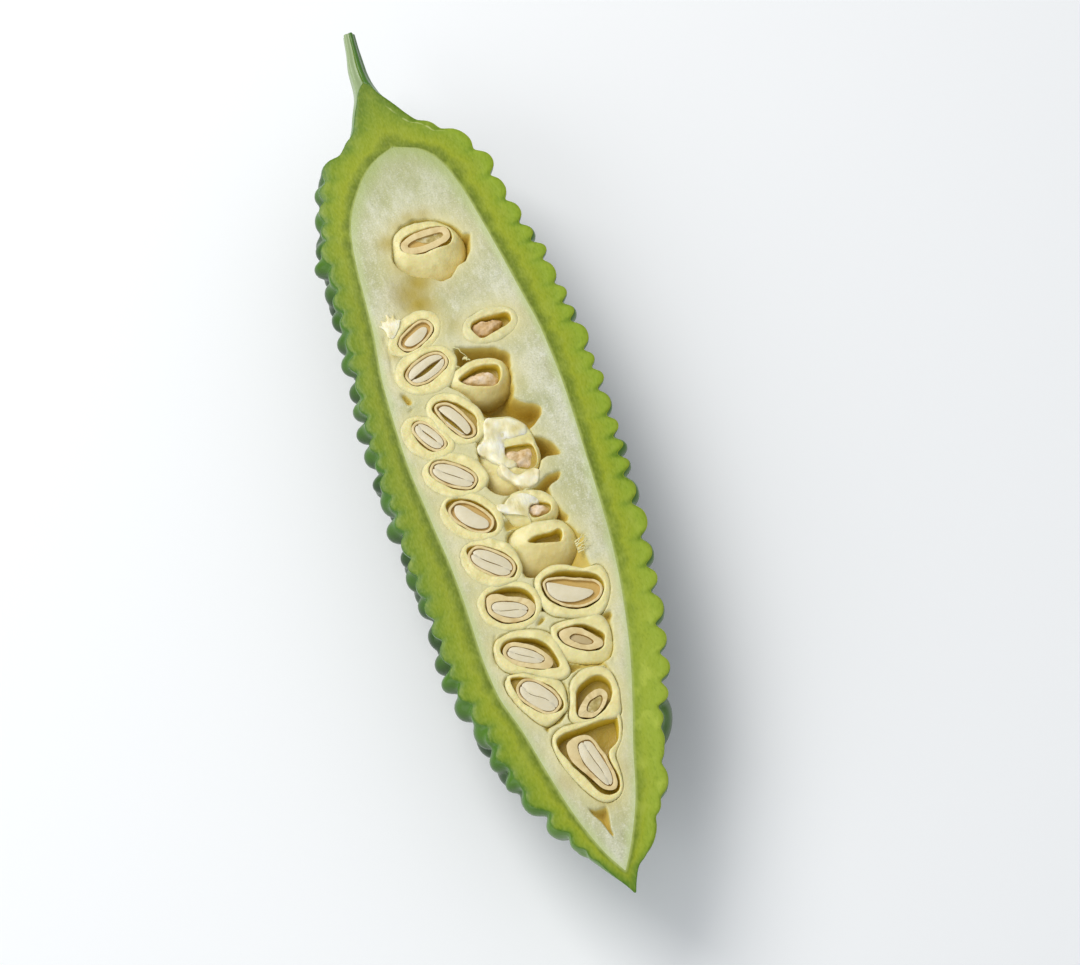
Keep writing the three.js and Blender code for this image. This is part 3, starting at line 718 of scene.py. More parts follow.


# %% [markdown]
# ## What the knife laid open
#
# No two seeds were cut alike. Where a line is a plain oval, the frame's ellipse is enough. The others
# were drawn in millimetres on the cut: the pulp, the hole in it, the coat and the kernel. They
# are tied to the frame by the middle of seed 4, which both know.

# %% Outlines that aren't plain ovals
SHAPES = {
    1: {"pulp": [(-6, 49.5), (-5, 52.6), (-2.5, 54.2), (1, 54.7), (5, 54), (8, 52), (9.7, 49.3),
                 (9.8, 46.5), (8.6, 43.8), (6.6, 41.8), (4, 40.1), (0.5, 40), (-2.6, 41.3), (-5.2, 43.4),
                 (-6.7, 46.4)],
        "hole": [(-4.5, 49), (-3.8, 50.9), (-2, 52.1), (3, 52.6), (6.8, 51.6), (7.5, 49.6), (6.4, 47.2),
                 (3.5, 47), (0, 46.6), (-3.4, 47.4)],
        "kernel": [(-1.7, 51.1), (0.3, 51.5), (3, 51.3), (6, 50.7), (6.1, 49.3), (4.2, 48.8), (1.5, 49),
                   (-0.2, 50.1)]},
    2: {"kernel": [(-10.1, 25), (-9.7, 26.1), (-8, 27.2), (-5.8, 28.3), (-4.5, 28.1), (-4.6, 26.9),
                   (-6.2, 25.3), (-8.6, 24.4)]},
    3: {"hole": [(4.7, 24.9), (5.6, 26.3), (8, 27), (11, 26.8), (13.2, 26.8), (14.1, 25.8), (13.8, 24.2),
                 (12, 23.4), (9, 22.4), (7.3, 21.7), (6.1, 22.1), (5.2, 23.4)],
        "coat": [(4.8, 24.8), (6, 26.3), (8.5, 26.6), (11.7, 26.4), (12.3, 25.3), (9.8, 23.4),
                 (6.6, 22.6)]},
    5: {"pulp": [(-4.4, 13.7), (-2.5, 15.2), (0.5, 16.4), (3.5, 17.1), (6.5, 16.9), (8.7, 16),
                 (9.9, 14.2), (10.2, 11.8), (9.4, 9.3), (7.6, 7.4), (4.6, 6.5), (1.8, 6.6), (0.2, 8),
                 (-1.6, 10.6), (-3.2, 12.2)],
        "hole": [(-1.1, 13.6), (0.8, 14.6), (4, 15.4), (6.6, 15.1), (8.1, 14), (7.6, 11.4), (6, 9.8),
                 (3, 10.5), (1, 11.2), (-0.7, 12.4)],
        "coat": [(-0.8, 13.4), (1.8, 14.1), (5.6, 13.9), (7.2, 12.6), (6.3, 10.2), (3, 10.8),
                 (0.4, 11.9)]},
    6: {"hole": [(-8.8, 7.5), (-8.3, 8.9), (-6.5, 9.3), (-4, 8.5), (-1.8, 6.3), (-0.3, 3.5), (-0.6, 0.8),
                 (-1.6, -1.2), (-3.5, -1.3), (-5.5, 0.5), (-7.2, 3.6)],
        "coat": [(-8.4, 7.7), (-7.8, 8.8), (-6, 8.9), (-4, 7.8), (-2.4, 5), (-1.2, 1.8), (-1.2, -0.4),
                 (-2.6, -1.2), (-4.3, -0.6), (-6.2, 2), (-7.8, 5.2)]},
    7: {"hole": [(-14.4, 3.2), (-13.9, 5.7), (-12.5, 6.2), (-10.8, 5.2), (-9, 2), (-7.9, -0.5),
                 (-8.4, -1.8), (-10, -2.3), (-11.8, -2), (-13.4, 0)]},
    8: {"pulp": [(0.6, 2.2), (5, 1.9), (8.4, 0), (9.9, -3.5), (10.2, -7), (9.8, -11), (7.2, -14.4),
                 (4, -16.3), (0.6, -16.5), (-2, -14.6), (-2.9, -11.5), (-2.4, -7), (-1.6, -2.5)],
        "hole": [(2.4, -6.2), (4.5, -5.6), (8.6, -6), (9.6, -7.8), (9.5, -10), (8.4, -11.8), (6, -11.6),
                 (3.6, -9.9)],
        "coat": [(2.5, -6.4), (4.6, -5.9), (8.6, -6.4), (9.4, -8), (9, -10.2), (7.8, -11.4), (6, -11.2),
                 (3.6, -9.6)]},
    10: {"hole": [(4.2, -20.4), (6, -19.8), (8.4, -20.6), (9.1, -21.8), (8, -23.2), (5, -23.4),
                  (4.2, -22.2)],
         "coat": [(4.4, -20.6), (6, -20.1), (8, -20.8), (8.8, -21.9), (7.6, -23), (5, -23.1),
                  (4.4, -22.1)]},
    11: {"hole": [(-12.4, -15.6), (-11.5, -14.4), (-9.5, -14.3), (-6.5, -16), (-3.8, -19), (-3.1, -22),
                  (-3.8, -23.9), (-5.5, -24.2), (-8.5, -23), (-11, -20.5), (-12.1, -18)],
         "kernel": [(-10.9, -16.7), (-10.2, -16), (-8.8, -16.5), (-6.8, -18.9), (-5, -20.9),
                    (-4.8, -22.3), (-5.6, -22.9), (-7.6, -22.4), (-9.8, -20.6), (-11, -18.4)]},
    12: {"pulp": [(-2.2, -27), (-1.4, -25.6), (1, -24.9), (5, -24.7), (8.6, -25), (11, -26.6),
                  (12.4, -29.2), (12, -31.8), (10.6, -34.4), (8.6, -36.2), (4, -36.6), (0, -36.2),
                  (-1.6, -33.5), (-2.2, -30)],
         "hole": [(1.9, -28.6), (3.8, -27.7), (7.3, -27.7), (8.9, -27.3), (9.6, -28.2), (8.9, -29.9),
                  (8, -30.3), (5, -29.9), (2.6, -29.2)]},
    13: {"hole": [(-11.2, -27.5), (-10.2, -26.2), (-8, -26.6), (-5, -28.2), (-2.7, -31), (-2, -33.6),
                  (-3, -35.4), (-5, -35.2), (-8, -33.8), (-10.4, -31)]},
    14: {"pulp": [(1, -37), (3, -35.9), (5, -35.4), (7.2, -35.8), (9.8, -37.1), (12, -38.1),
                  (14.2, -37.8), (15.3, -39), (15.6, -41.5), (14.8, -45), (12.2, -48.7), (9, -49),
                  (5, -47.8), (1.6, -46.2), (0.3, -43), (0.3, -39.6)],
         "hole": [(1.6, -39), (3, -37.4), (6, -37), (9.5, -38), (13, -39.6), (14.3, -42), (13.7, -44.5),
                  (12, -46.2), (8, -46.8), (4.5, -45.4), (1.9, -42.5)],
         "coat": [(2, -39.2), (2.6, -38.2), (4, -38), (7, -38.7), (10.5, -40), (13, -41.2), (13.9, -43.3),
                  (12.3, -45.7), (8.5, -46.4), (4.7, -45), (2.3, -42.2)],
         "kernel": [(2.7, -39.7), (3.4, -38.9), (7.4, -41), (11.6, -43.2), (10.9, -44.4), (7.5, -44.8),
                    (4.4, -43.7), (2.7, -41.5)]},
    15: {"hole": [(-10.9, -40), (-10, -38), (-7, -37.4), (-3.5, -37.9), (-1.2, -40), (-0.6, -42.8),
                  (-1.5, -45), (-4, -46), (-7, -45.8), (-9.5, -44.5), (-10.9, -42.3)],
         "coat": [(-10.7, -40), (-9.8, -38.4), (-7.6, -38.5), (-6.2, -39.5), (-5, -39.9), (-2.8, -40.7),
                  (-1.1, -42.5), (-1.2, -44.3), (-3, -45.6), (-6, -45.8), (-9, -44.6), (-10.7, -42.3)],
         "kernel": [(-9.8, -41), (-9.2, -40.3), (-7.5, -40.3), (-4.5, -41.4), (-2.7, -42.9),
                    (-2.9, -44.2), (-5, -44.9), (-8, -43.6), (-9.6, -42.2)]},
    16: {"pulp": [(0.6, -50), (1.2, -48.6), (4, -48.4), (8, -48.8), (11.6, -49.2), (12.6, -52),
                  (12.2, -55.5), (10.6, -59), (8, -59), (4, -58.2), (1.2, -56.6), (0.4, -53)],
         "hole": [(1.8, -50.6), (3.5, -49.9), (7, -50.1), (9, -51.2), (11, -53.6), (10.6, -55.1),
                  (9.6, -56.5), (7, -56.5), (4, -54.9), (2, -52.7)],
         "coat": [(2, -50.7), (4, -50.2), (6.6, -50.8), (8, -52.2), (10.1, -54.9), (9.6, -56.2),
                  (7, -56.2), (4, -54.7), (2.2, -52.6)],
         "kernel": [(4.1, -52.2), (5.4, -52), (7.4, -53.3), (8.2, -54.6), (7.2, -54.9), (5.4, -54),
                    (4.2, -53)]},
    17: {"pulp": [(-12.2, -51), (-11, -48.6), (-8.4, -47.8), (-5, -47.9), (-2, -48.8), (0.4, -50.4),
                  (1.2, -53.5), (1.8, -57), (1.8, -59.8), (-0.2, -61), (-3, -59.8), (-7, -57.4),
                  (-10.4, -56.4), (-12, -54.2)],
         "hole": [(-10.8, -51.6), (-10, -49.8), (-8, -49.1), (-4.5, -49.9), (-1.4, -52), (0, -55.5),
                  (-0.1, -58.2), (-2.5, -57.9), (-6, -56.8), (-9.3, -54.5)],
         "coat": [(-10.5, -52), (-9.8, -50.3), (-8, -50), (-5, -51.2), (-2, -54), (-1, -56.3),
                  (-1.8, -57.7), (-4.5, -57.3), (-7.5, -56), (-9.8, -54)],
         "kernel": [(-9.6, -51.9), (-8.6, -51), (-6.8, -51.4), (-4, -53.4), (-2.6, -55), (-3, -55.9),
                    (-5, -55.8), (-7.8, -54.4), (-9.4, -53)]},
    18: {"pulp": [(-12.2, -59), (-11, -57.2), (-8, -57.2), (-4, -59.4), (-1, -61), (-0.4, -63.2),
                  (-1.4, -66.6), (-3.4, -68.9), (-6.8, -69.9), (-9.2, -67), (-11.2, -63)],
         "hole": [(-10.9, -58.6), (-10.4, -57.5), (-8.3, -58.1), (-6, -59.3), (-3, -62), (-1.7, -65),
                  (-2.3, -67.2), (-4.5, -67.6), (-7, -66.6), (-9.3, -64), (-10.3, -61.3)]},
    19: {"pulp": [(0.8, -62.6), (2.6, -60.8), (5, -60), (7.6, -60.4), (9.6, -62.2), (10.2, -65),
                  (9.6, -69), (8.6, -72), (4, -71.8), (0, -71.4), (-1.6, -69.9), (-0.6, -67), (0.1, -65)],
         "hole": [(0.2, -69.3), (1, -66.5), (2, -64), (4.5, -62.5), (7, -62.2), (8.7, -64), (8.7, -66.5),
                  (7.6, -68.5), (5.8, -70), (3, -71), (0.9, -70.6)],
         "coat": [(0.4, -69.4), (2.2, -67), (4.5, -65.4), (6.8, -65.4), (7.4, -67), (6.3, -69.2),
                  (3.6, -70.8), (1.2, -70.4)],
         "kernel": [(2.6, -69.2), (3.3, -67.8), (4.8, -67), (6.1, -66.7), (6.1, -67.8), (4.9, -69.2),
                    (3.6, -69.8)]},
    20: {"pulp": [(-6.5, -73.4), (-4.6, -71.6), (-1, -71.2), (4, -71.6), (8.2, -71.4), (8.6, -73),
                  (7.4, -76.8), (5.2, -80), (5, -84), (4.4, -87.6), (2, -89.4), (-0.6, -89), (-3, -86),
                  (-5, -81.5), (-6.3, -77.5)],
         "hole": [(-5.8, -74.3), (-4.2, -72.9), (1, -72.3), (7.5, -71.8), (7.9, -73), (6.8, -76.8),
                  (4.2, -79.2), (4.1, -82), (4.4, -85), (3.7, -87.5), (1.6, -88.2), (-0.6, -86.6),
                  (-2.4, -83), (-4.6, -78.5)],
         "coat": [(-4.2, -77.5), (-3.6, -74.9), (-1.6, -74), (0.6, -74.2), (2, -76), (3.1, -79.5),
                  (3.9, -83.5), (3.6, -86.6), (2, -87.4), (0.2, -86), (-1.6, -83), (-3.4, -80)],
         "kernel": [(-1.8, -78), (-1.5, -76), (-0.2, -75.4), (1.2, -76), (2.1, -79), (3, -83),
                    (2.8, -85.6), (1.6, -86), (0, -83.5), (-1.3, -80.6)]},
}
MEASURED_SEED_4 = np.array([-7.2, 18.0])
SHIFT = ellipse_of(hull_of(top_outline("seed_coat_04")))[0] - MEASURED_SEED_4
print("from the drawn outlines to the frame:", np.round(SHIFT, 2))


# %% Every seed with its nodes and outlines
class Cell:
    """One seed: its nodes in the frame and its outlines in the cut."""

    def __init__(self, number):
        self.number = number
        self.nodes = {kind: f"{kind}_{number:02d}" for kind in ("pulp", "seed_coat", "kernel")
                      if f"{kind}_{number:02d}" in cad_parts}
        self.pulp = hull_of(top_outline(self.nodes["pulp"]))
        self.whole = "seed_coat" in self.nodes and "kernel" not in self.nodes  # the knife missed it
        self.hole = self.coat = self.kernel = None
        if "kernel" in self.nodes:
            middle, long, wide, turn = ellipse_of(hull_of(top_outline(self.nodes["seed_coat"])))
            self.turn = turn
            self.hole = oval(middle, long + 0.12, wide + 0.12, turn)
            self.coat = oval(middle, long, wide, turn)
            self.kernel = oval(middle, long - 0.7, wide - 0.7, turn, 2.4)
        for kind, corners in SHAPES.get(number, {}).items():
            setattr(self, kind, rounded(corners) + SHIFT)
        self.middle = self.hole.mean(0)
        self.drawn = "pulp" in SHAPES.get(number, {})
        self.soften = 1 if self.drawn else 10  # the frame's outline is faceted, so it is evened out


cells = [Cell(number) for number in range(1, 21)]
print("seeds cut:", sum(cell.kernel is not None for cell in cells))

# %% [markdown]
# ## Pulp
#
# Each pulp is a soft bag round a seed. Cut open it shows a pale, moist lip round a golden pocket. Two
# outlines bridged, a rim extruded down and the edges bevelled would give it, but its lip has to swell
# and sag differently on every side. So it is lofted round the pocket: up its outside, over the lip and
# down into the pocket, with the height of the lip worked out from the distance to both its edges.

# %% Rings round a pocket
AROUND = 80
turns = np.linspace(0, 2 * math.pi, AROUND, endpoint=False)


def reach_of(outline, middle, soften=0):
    """How far an outline reaches from a middle, at the even angles of turns."""
    away = evenly(outline, 400) - middle
    angle, reach = np.arctan2(away[:, 1], away[:, 0]), np.linalg.norm(away, axis=1)
    reach = np.interp(turns, angle[np.argsort(angle)], reach[np.argsort(angle)], period=2 * math.pi)
    for _ in range(soften):
        reach = (np.roll(reach, 1) + 2 * reach + np.roll(reach, -1)) / 4
    return reach


def ring_at(middle, reach, z):
    """A loop of points round a middle. reach and z may change round it."""
    x, y = middle[0] + reach * np.cos(turns), middle[1] + reach * np.sin(turns)
    return np.stack([x, y, np.broadcast_to(z, x.shape)], -1)


def round_off(distance, radius):
    """How far a rounded edge falls off at a distance from it."""
    left = radius - np.minimum(distance, radius)
    return radius - np.sqrt(radius**2 - left**2)


def lumpy(piece, size, amount, seed):
    """Moves every point of a piece a little, with lumps of size and amount in millimetres."""
    shift = Vector((seed * 7.3, seed * 3.1, seed * 5.7))
    for vertex in piece.data.vertices:
        vertex.co += noise.noise_vector(vertex.co / (size * MM) + shift) * (amount * MM)


# %% The bags
# How far a bag sags below the cut on its low side, and the direction of that side in degrees
SAG = {1: (4.0, -62), 5: (4.2, -72), 8: (3.6, -118), 10: (2.2, -110), 12: (4.5, -95), 16: (1.0, -100)}
# How much a pocket draws in towards its floor, as a share of its reach. The others are nearly PLUMB.
OPEN = {1: 0.04, 3: 0.1, 5: 0.1, 12: 0.2, 14: 0.13, 15: 0.1, 16: 0.08, 17: 0.08, 19: 0.12, 20: 0.1}
PLUMB = 0.03
PULP_DEPTH = 8.2
LIP_HEIGHT = 0.15  # how far a lip stands over the cut
ROOMY_FLOOR, TIGHT_FLOOR = 1.9, 0.7  # how deep the floor of a pocket lies beside its seed


def make_pulp(cell):
    middle = cell.middle
    spare = 0.1 if cell.drawn else 0.65
    hole = reach_of(cell.hole, middle)
    outer = np.maximum(reach_of(cell.pulp, middle, cell.soften) + spare, hole + 0.9)
    depth, side = SAG.get(cell.number, (0.0, 0))
    sag = depth * (0.5 + 0.5 * np.cos(turns - math.radians(side))) ** 1.4
    wide, wall = outer - hole, OPEN.get(cell.number, PLUMB)
    loops, deep, brim = [], [], []
    for q in np.linspace(1, 0.05, 12):  # up the outside
        bulge = max(math.cos(q * math.pi / 2), 0.012) ** 0.45
        z = CUT - sag - 0.5 - (PULP_DEPTH - sag) * math.sin(q * math.pi / 2)
        loops.append(ring_at(middle, outer * bulge, z))
        deep.append(-q)
        brim.append(0.0)
    for p in np.linspace(0, 1, 18):  # over the lip
        fall = 0.4 * round_off(p * wide, 0.9) + 0.5 * round_off((1 - p) * wide, 0.4)
        z = CUT + LIP_HEIGHT - fall - sag * (1 - p) ** 1.5
        loops.append(ring_at(middle, outer - wide * p, z))
        deep.append(0.0)
        brim.append(p * (0.3 if cell.number == 3 else 1))
    floor_depth = ROOMY_FLOOR if wall > 0.05 else TIGHT_FLOOR
    for q in np.linspace(0.1, 1, 9):  # down into the pocket
        z = CUT - 0.3 - floor_depth * q
        loops.append(ring_at(middle, hole * (1 - wall * q), z))
        deep.append(q)
        brim.append(1.0)
    for share in (0.6, 0.25, 0.01):  # and across its floor
        loops.append(ring_at(middle, hole * share, CUT - 0.4 - floor_depth))
        deep.append(1.0)
        brim.append(1.0)
    deep, brim = (np.tile(np.array([values]).T, AROUND) for values in (deep, brim))
    low = np.tile(sag * (0.25 if cell.number == 1 else 1), (len(loops), 1))
    piece = loft(f"seed_pulp_{cell.number:02d}", loops, {"deep": deep, "sag": low, "brim": brim})
    lumpy(piece, 3.6, 0.25, cell.number)
    lumpy(piece, 1.3, 0.09, cell.number + 40)
    lumpy(piece, 0.6, 0.04, cell.number + 50)
    return piece


pulps = {cell.number: make_pulp(cell) for cell in cells}


# %% Pulp finishes
def pulp_look():
    look = Look("seed_pulp", Coat_Weight=0.15, Coat_Roughness=0.3, Subsurface_Weight=0.3,
                Subsurface_Radius=(1.0, 0.7, 0.3), Subsurface_Scale=0.9 * MM)
    deep, sag = look.attribute("deep"), look.attribute("sag")
    cloud = look.noise(1.8, detail=4.0)
    streak = look.noise(0.9, stretch=(1, 1, 3), detail=3.0)
    lip = look.mix(cloud, "#ddd084", "#f0e7b0")
    # Painted shade: on the side where a bag sags below the cut, its lip is painted a deeper gold and the
    # foot of its outside dark brown.
    lip = look.mix(look.spread(sag, 1.4, 5.0) * 0.7, lip, look.mix(streak, "#ceb45a", "#e2d08c"))
    foot = look.spread(sag, 2.2, 4.2) * (1 - look.spread(look.attribute("brim"), 0.05, 0.42))
    lip = look.mix(foot * 0.8, lip, "#8d741c")
    brim = look.spread(look.attribute("brim") + (cloud - 0.5) * 0.3, 0.05, 0.4)
    lip = look.mix((1 - brim) * (1 - look.spread(sag, 0.1, 0.8)) * 0.8, lip, "#d3cd9a")
    # Painted shade: a pocket is painted a darker gold towards its floor, and the outside of a bag below
    # its lip a shaded gold.
    pocket = look.ramp(look.clamp(deep + (streak - 0.5) * 0.15), (0.0, "#e2d480"), (0.2, "#d6ba42"),
                       (0.6, "#c9ad2a"), (1.0, "#b09420"))
    colour = look.mix(look.spread(deep, 0.0, 0.05), lip, pocket)
    colour = look.mix(look.clamp(deep * -1.6), colour, "#c4a84c")
    golden = look.spread(look.noise(1.4, detail=3.0), 0.5, 0.72) * look.spread(deep, -0.4, 0.0)
    colour = look.mix(golden * (1 - look.spread(deep, 0.0, 0.1)) * 0.4, colour, "#d9c272")
    normal = look.bump(look.noise(0.5, detail=3.0), 0.08, look.bump(cloud, 0.16))
    return look.wear(Base_Color=colour, Roughness=0.42, Normal=normal)


def torn_look():
    look = Look("torn_pulp", Coat_Weight=0.3, Coat_Roughness=0.25, Subsurface_Weight=0.3,
                Subsurface_Radius=(1.0, 0.8, 0.4), Subsurface_Scale=0.9 * MM)
    cloud = look.noise(3.4, detail=2.5)
    colour = look.ramp(cloud, (0.3, "#dccc8c"), (0.48, "#ede3b8"), (0.66, "#f6f2de"))
    normal = look.bump(look.noise(0.7, stretch=(1, 2.5, 1), detail=4.0), 0.15)
    return look.wear(Base_Color=colour, Roughness=0.42, Normal=normal)


pulp_finish, torn_finish = pulp_look(), torn_look()
for bag in pulps.values():
    bag.data.materials.append(pulp_finish)

# %% [markdown]
# ## Torn pulp
#
# Round seeds 8 and 10, and at a corner of pulp 2, the knife dragged, and the pulp stands up in bright
# ragged flakes. A flake is modelled as by hand: a disc is drawn out to an outline, extruded down, and
# its upper edges are bevelled. A Remesh modifier gives it small even faces, so that it can be pushed
# into folds, and a Smooth modifier softens them. The fibres by pulps 4 and 12 are small discs that
# are extruded in five steps, each thinner than the last. All are joined to their bags.


# %% A slab from an outline
def pick(piece, what, wanted):
    """Selects the edges or polygons of a piece, in edit mode, for which wanted(part, corners) is true."""
    bpy.ops.mesh.select_mode(type={"edges": "EDGE", "polygons": "FACE"}[what])
    bpy.ops.object.mode_set(mode="OBJECT")
    mesh = piece.data
    for part in getattr(mesh, what):
        corners = [mesh.vertices[i].co for i in part.vertices]
        part.select = bool(wanted(part, corners))
    bpy.ops.object.mode_set(mode="EDIT")


def slab(name, outline, top, depth, foot):
    """A block with an outline, from top down by depth, its foot smaller by the factor foot."""
    bpy.ops.object.select_all(action="DESELECT")
    bpy.ops.mesh.primitive_circle_add(vertices=len(outline), radius=MM, fill_type="NGON")
    piece = bpy.context.object
    piece.name = name
    for vertex, (x, y) in zip(piece.data.vertices, outline):
        vertex.co = (x * MM, y * MM, top * MM)
    edit(piece)
    bpy.ops.mesh.select_all(action="SELECT")
    bpy.ops.mesh.extrude_region_move(TRANSFORM_OT_translate={"value": (0, 0, -depth * MM)})
    middle = (outline.mean(0)[0] * MM, outline.mean(0)[1] * MM, (top - depth) * MM)
    bpy.ops.transform.resize(value=(foot, foot, 1), center_override=middle)
    bpy.ops.mesh.select_all(action="SELECT")
    bpy.ops.mesh.normals_make_consistent(inside=False)
    bpy.ops.object.mode_set(mode="OBJECT")
    return piece


def bevel_top(piece, top, width, segments=3):
    edit(piece)
    pick(piece, "edges", lambda _, corners: min(c.z for c in corners) > (top - 0.02) * MM)
    bpy.ops.mesh.bevel(offset=width * MM, segments=segments, affect="EDGES", clamp_overlap=True)
    bpy.ops.object.mode_set(mode="OBJECT")


# %% Flakes
TORN = {
    2: [[(-12.4, 27.4), (-13.6, 28.2), (-13.9, 29.8), (-14.6, 31.2), (-13.6, 30.9), (-13.7, 32.5),
         (-12.8, 31.5), (-12.5, 33.6), (-11.9, 31.9), (-11.2, 33.3), (-10.8, 31.7), (-9.6, 31.2),
         (-10.8, 29.6)]],
    8: [[(1.4, 2.3), (3, 2), (6.5, 1), (8.4, -0.1), (9.4, -1.6), (9.1, -3.4), (6.5, -3.9),
         (4.6, -4.2), (3.5, -5.3), (3.3, -6.9), (3.9, -8.4), (4.8, -9.6), (4.4, -11), (3, -11),
         (1.2, -9.8), (0.2, -8.4), (-1.2, -6.5), (-2.4, -4.8), (-0.6, -2.8), (0.4, 0.5)],
        [(2.4, -9.2), (4.5, -11.9), (9.1, -12.6), (8.8, -15.2), (5.8, -16.5), (4.2, -15.4),
         (1.8, -12.8), (0.7, -10.6)]],
    10: [[(-2, -18.2), (0, -18.9), (1, -17.9), (3.5, -17.5), (6.7, -18.7), (7, -20), (4.9, -20.2),
          (4.3, -21.8), (3.7, -24.8), (2.9, -22.7), (-0.5, -21.7), (-1.7, -20)]],
}


FLAKE_TOP, FLAKE_DEPTH, FLAKE_EDGE = 0.5, 3.0, 0.8
FLAKE_LIMIT = 0.7  # no fold stands further over the cut


def make_flake(name, corners, seed):
    outline = rounded(corners, 48) + SHIFT
    top = CUT + FLAKE_TOP
    piece = slab(name, outline, top, FLAKE_DEPTH, 1.0)
    bevel_top(piece, top, FLAKE_EDGE)
    even = piece.modifiers.new("even", "REMESH")
    even.mode, even.voxel_size = "VOXEL", 0.16 * MM
    bpy.ops.object.modifier_apply(modifier="even")
    lumpy(piece, 3.4, 1.0, seed)
    lumpy(piece, 1.2, 0.1, seed + 9)
    for vertex in piece.data.vertices:
        over = max(vertex.co.z / MM - CUT, 0)
        vertex.co.z -= (over - FLAKE_LIMIT * (1 - math.exp(-over / FLAKE_LIMIT))) * MM
    rounder = piece.modifiers.new("rounder", "SMOOTH")
    rounder.factor, rounder.iterations = 0.5, 4
    bpy.ops.object.modifier_apply(modifier="rounder")
    return piece


# Fibres that stand out of a cut: where each starts and ends beside which seed, and how thick it is.
STRANDS = {
    4: [((-0.2, 21.6), (1.6, 17.6), 0.16), ((1.2, 18.2), (2.2, 16.9), 0.5)],
    12: [((11.4, -31.6 - 0.5 * i), (14.2 - 0.3 * (i % 3), -30.6 - 0.62 * i), 0.22) for i in range(6)],
}


STEPS, TAPER = 5, 0.78


def make_strand(number, start, end, thick):
    """A fibre from a small disc, thinner and more crooked with every step."""
    start = np.array([*(start + SHIFT), CUT - 0.1])
    end = np.array([*(end + SHIFT), CUT + 0.2])
    run = (end - start) / STEPS
    across = math.atan2(run[1], run[0])
    bpy.ops.object.select_all(action="DESELECT")
    bpy.ops.mesh.primitive_circle_add(vertices=7, radius=thick * MM, fill_type="NGON",
                                      rotation=(0, math.pi / 2, across), location=start * MM)
    bpy.ops.object.transform_apply(location=True, rotation=True, scale=True)
    piece = bpy.context.object
    edit(piece)
    bpy.ops.mesh.select_all(action="SELECT")
    for step in range(STEPS):
        bend = np.array([dice.uniform(-0.3, 0.3), dice.uniform(-0.3, 0.3), 0.16 - 0.06 * step])
        bpy.ops.mesh.extrude_region_move(TRANSFORM_OT_translate={"value": (run + bend) * MM})
        bpy.ops.transform.resize(value=(TAPER,) * 3)
    bpy.ops.mesh.select_all(action="SELECT")
    bpy.ops.mesh.normals_make_consistent(inside=False)
    bpy.ops.object.mode_set(mode="OBJECT")
    piece.name = f"strand_{number}"
    return piece


for number, shreds in (TORN | STRANDS).items():
    if number in TORN:
        made = [make_flake(f"flake_{number}_{i}", corners, number + i)
                for i, corners in enumerate(shreds)]
    else:
        made = [make_strand(number, *strand) for strand in shreds]
    bag = pulps[number]
    for shred in made:
        shred.data.materials.append(torn_finish if number in TORN else pulp_finish)
    select_only(*made, bag)
    bpy.ops.object.join()


for cell in cells:
    settle(pulps[cell.number], "pulp", cell.nodes["pulp"])
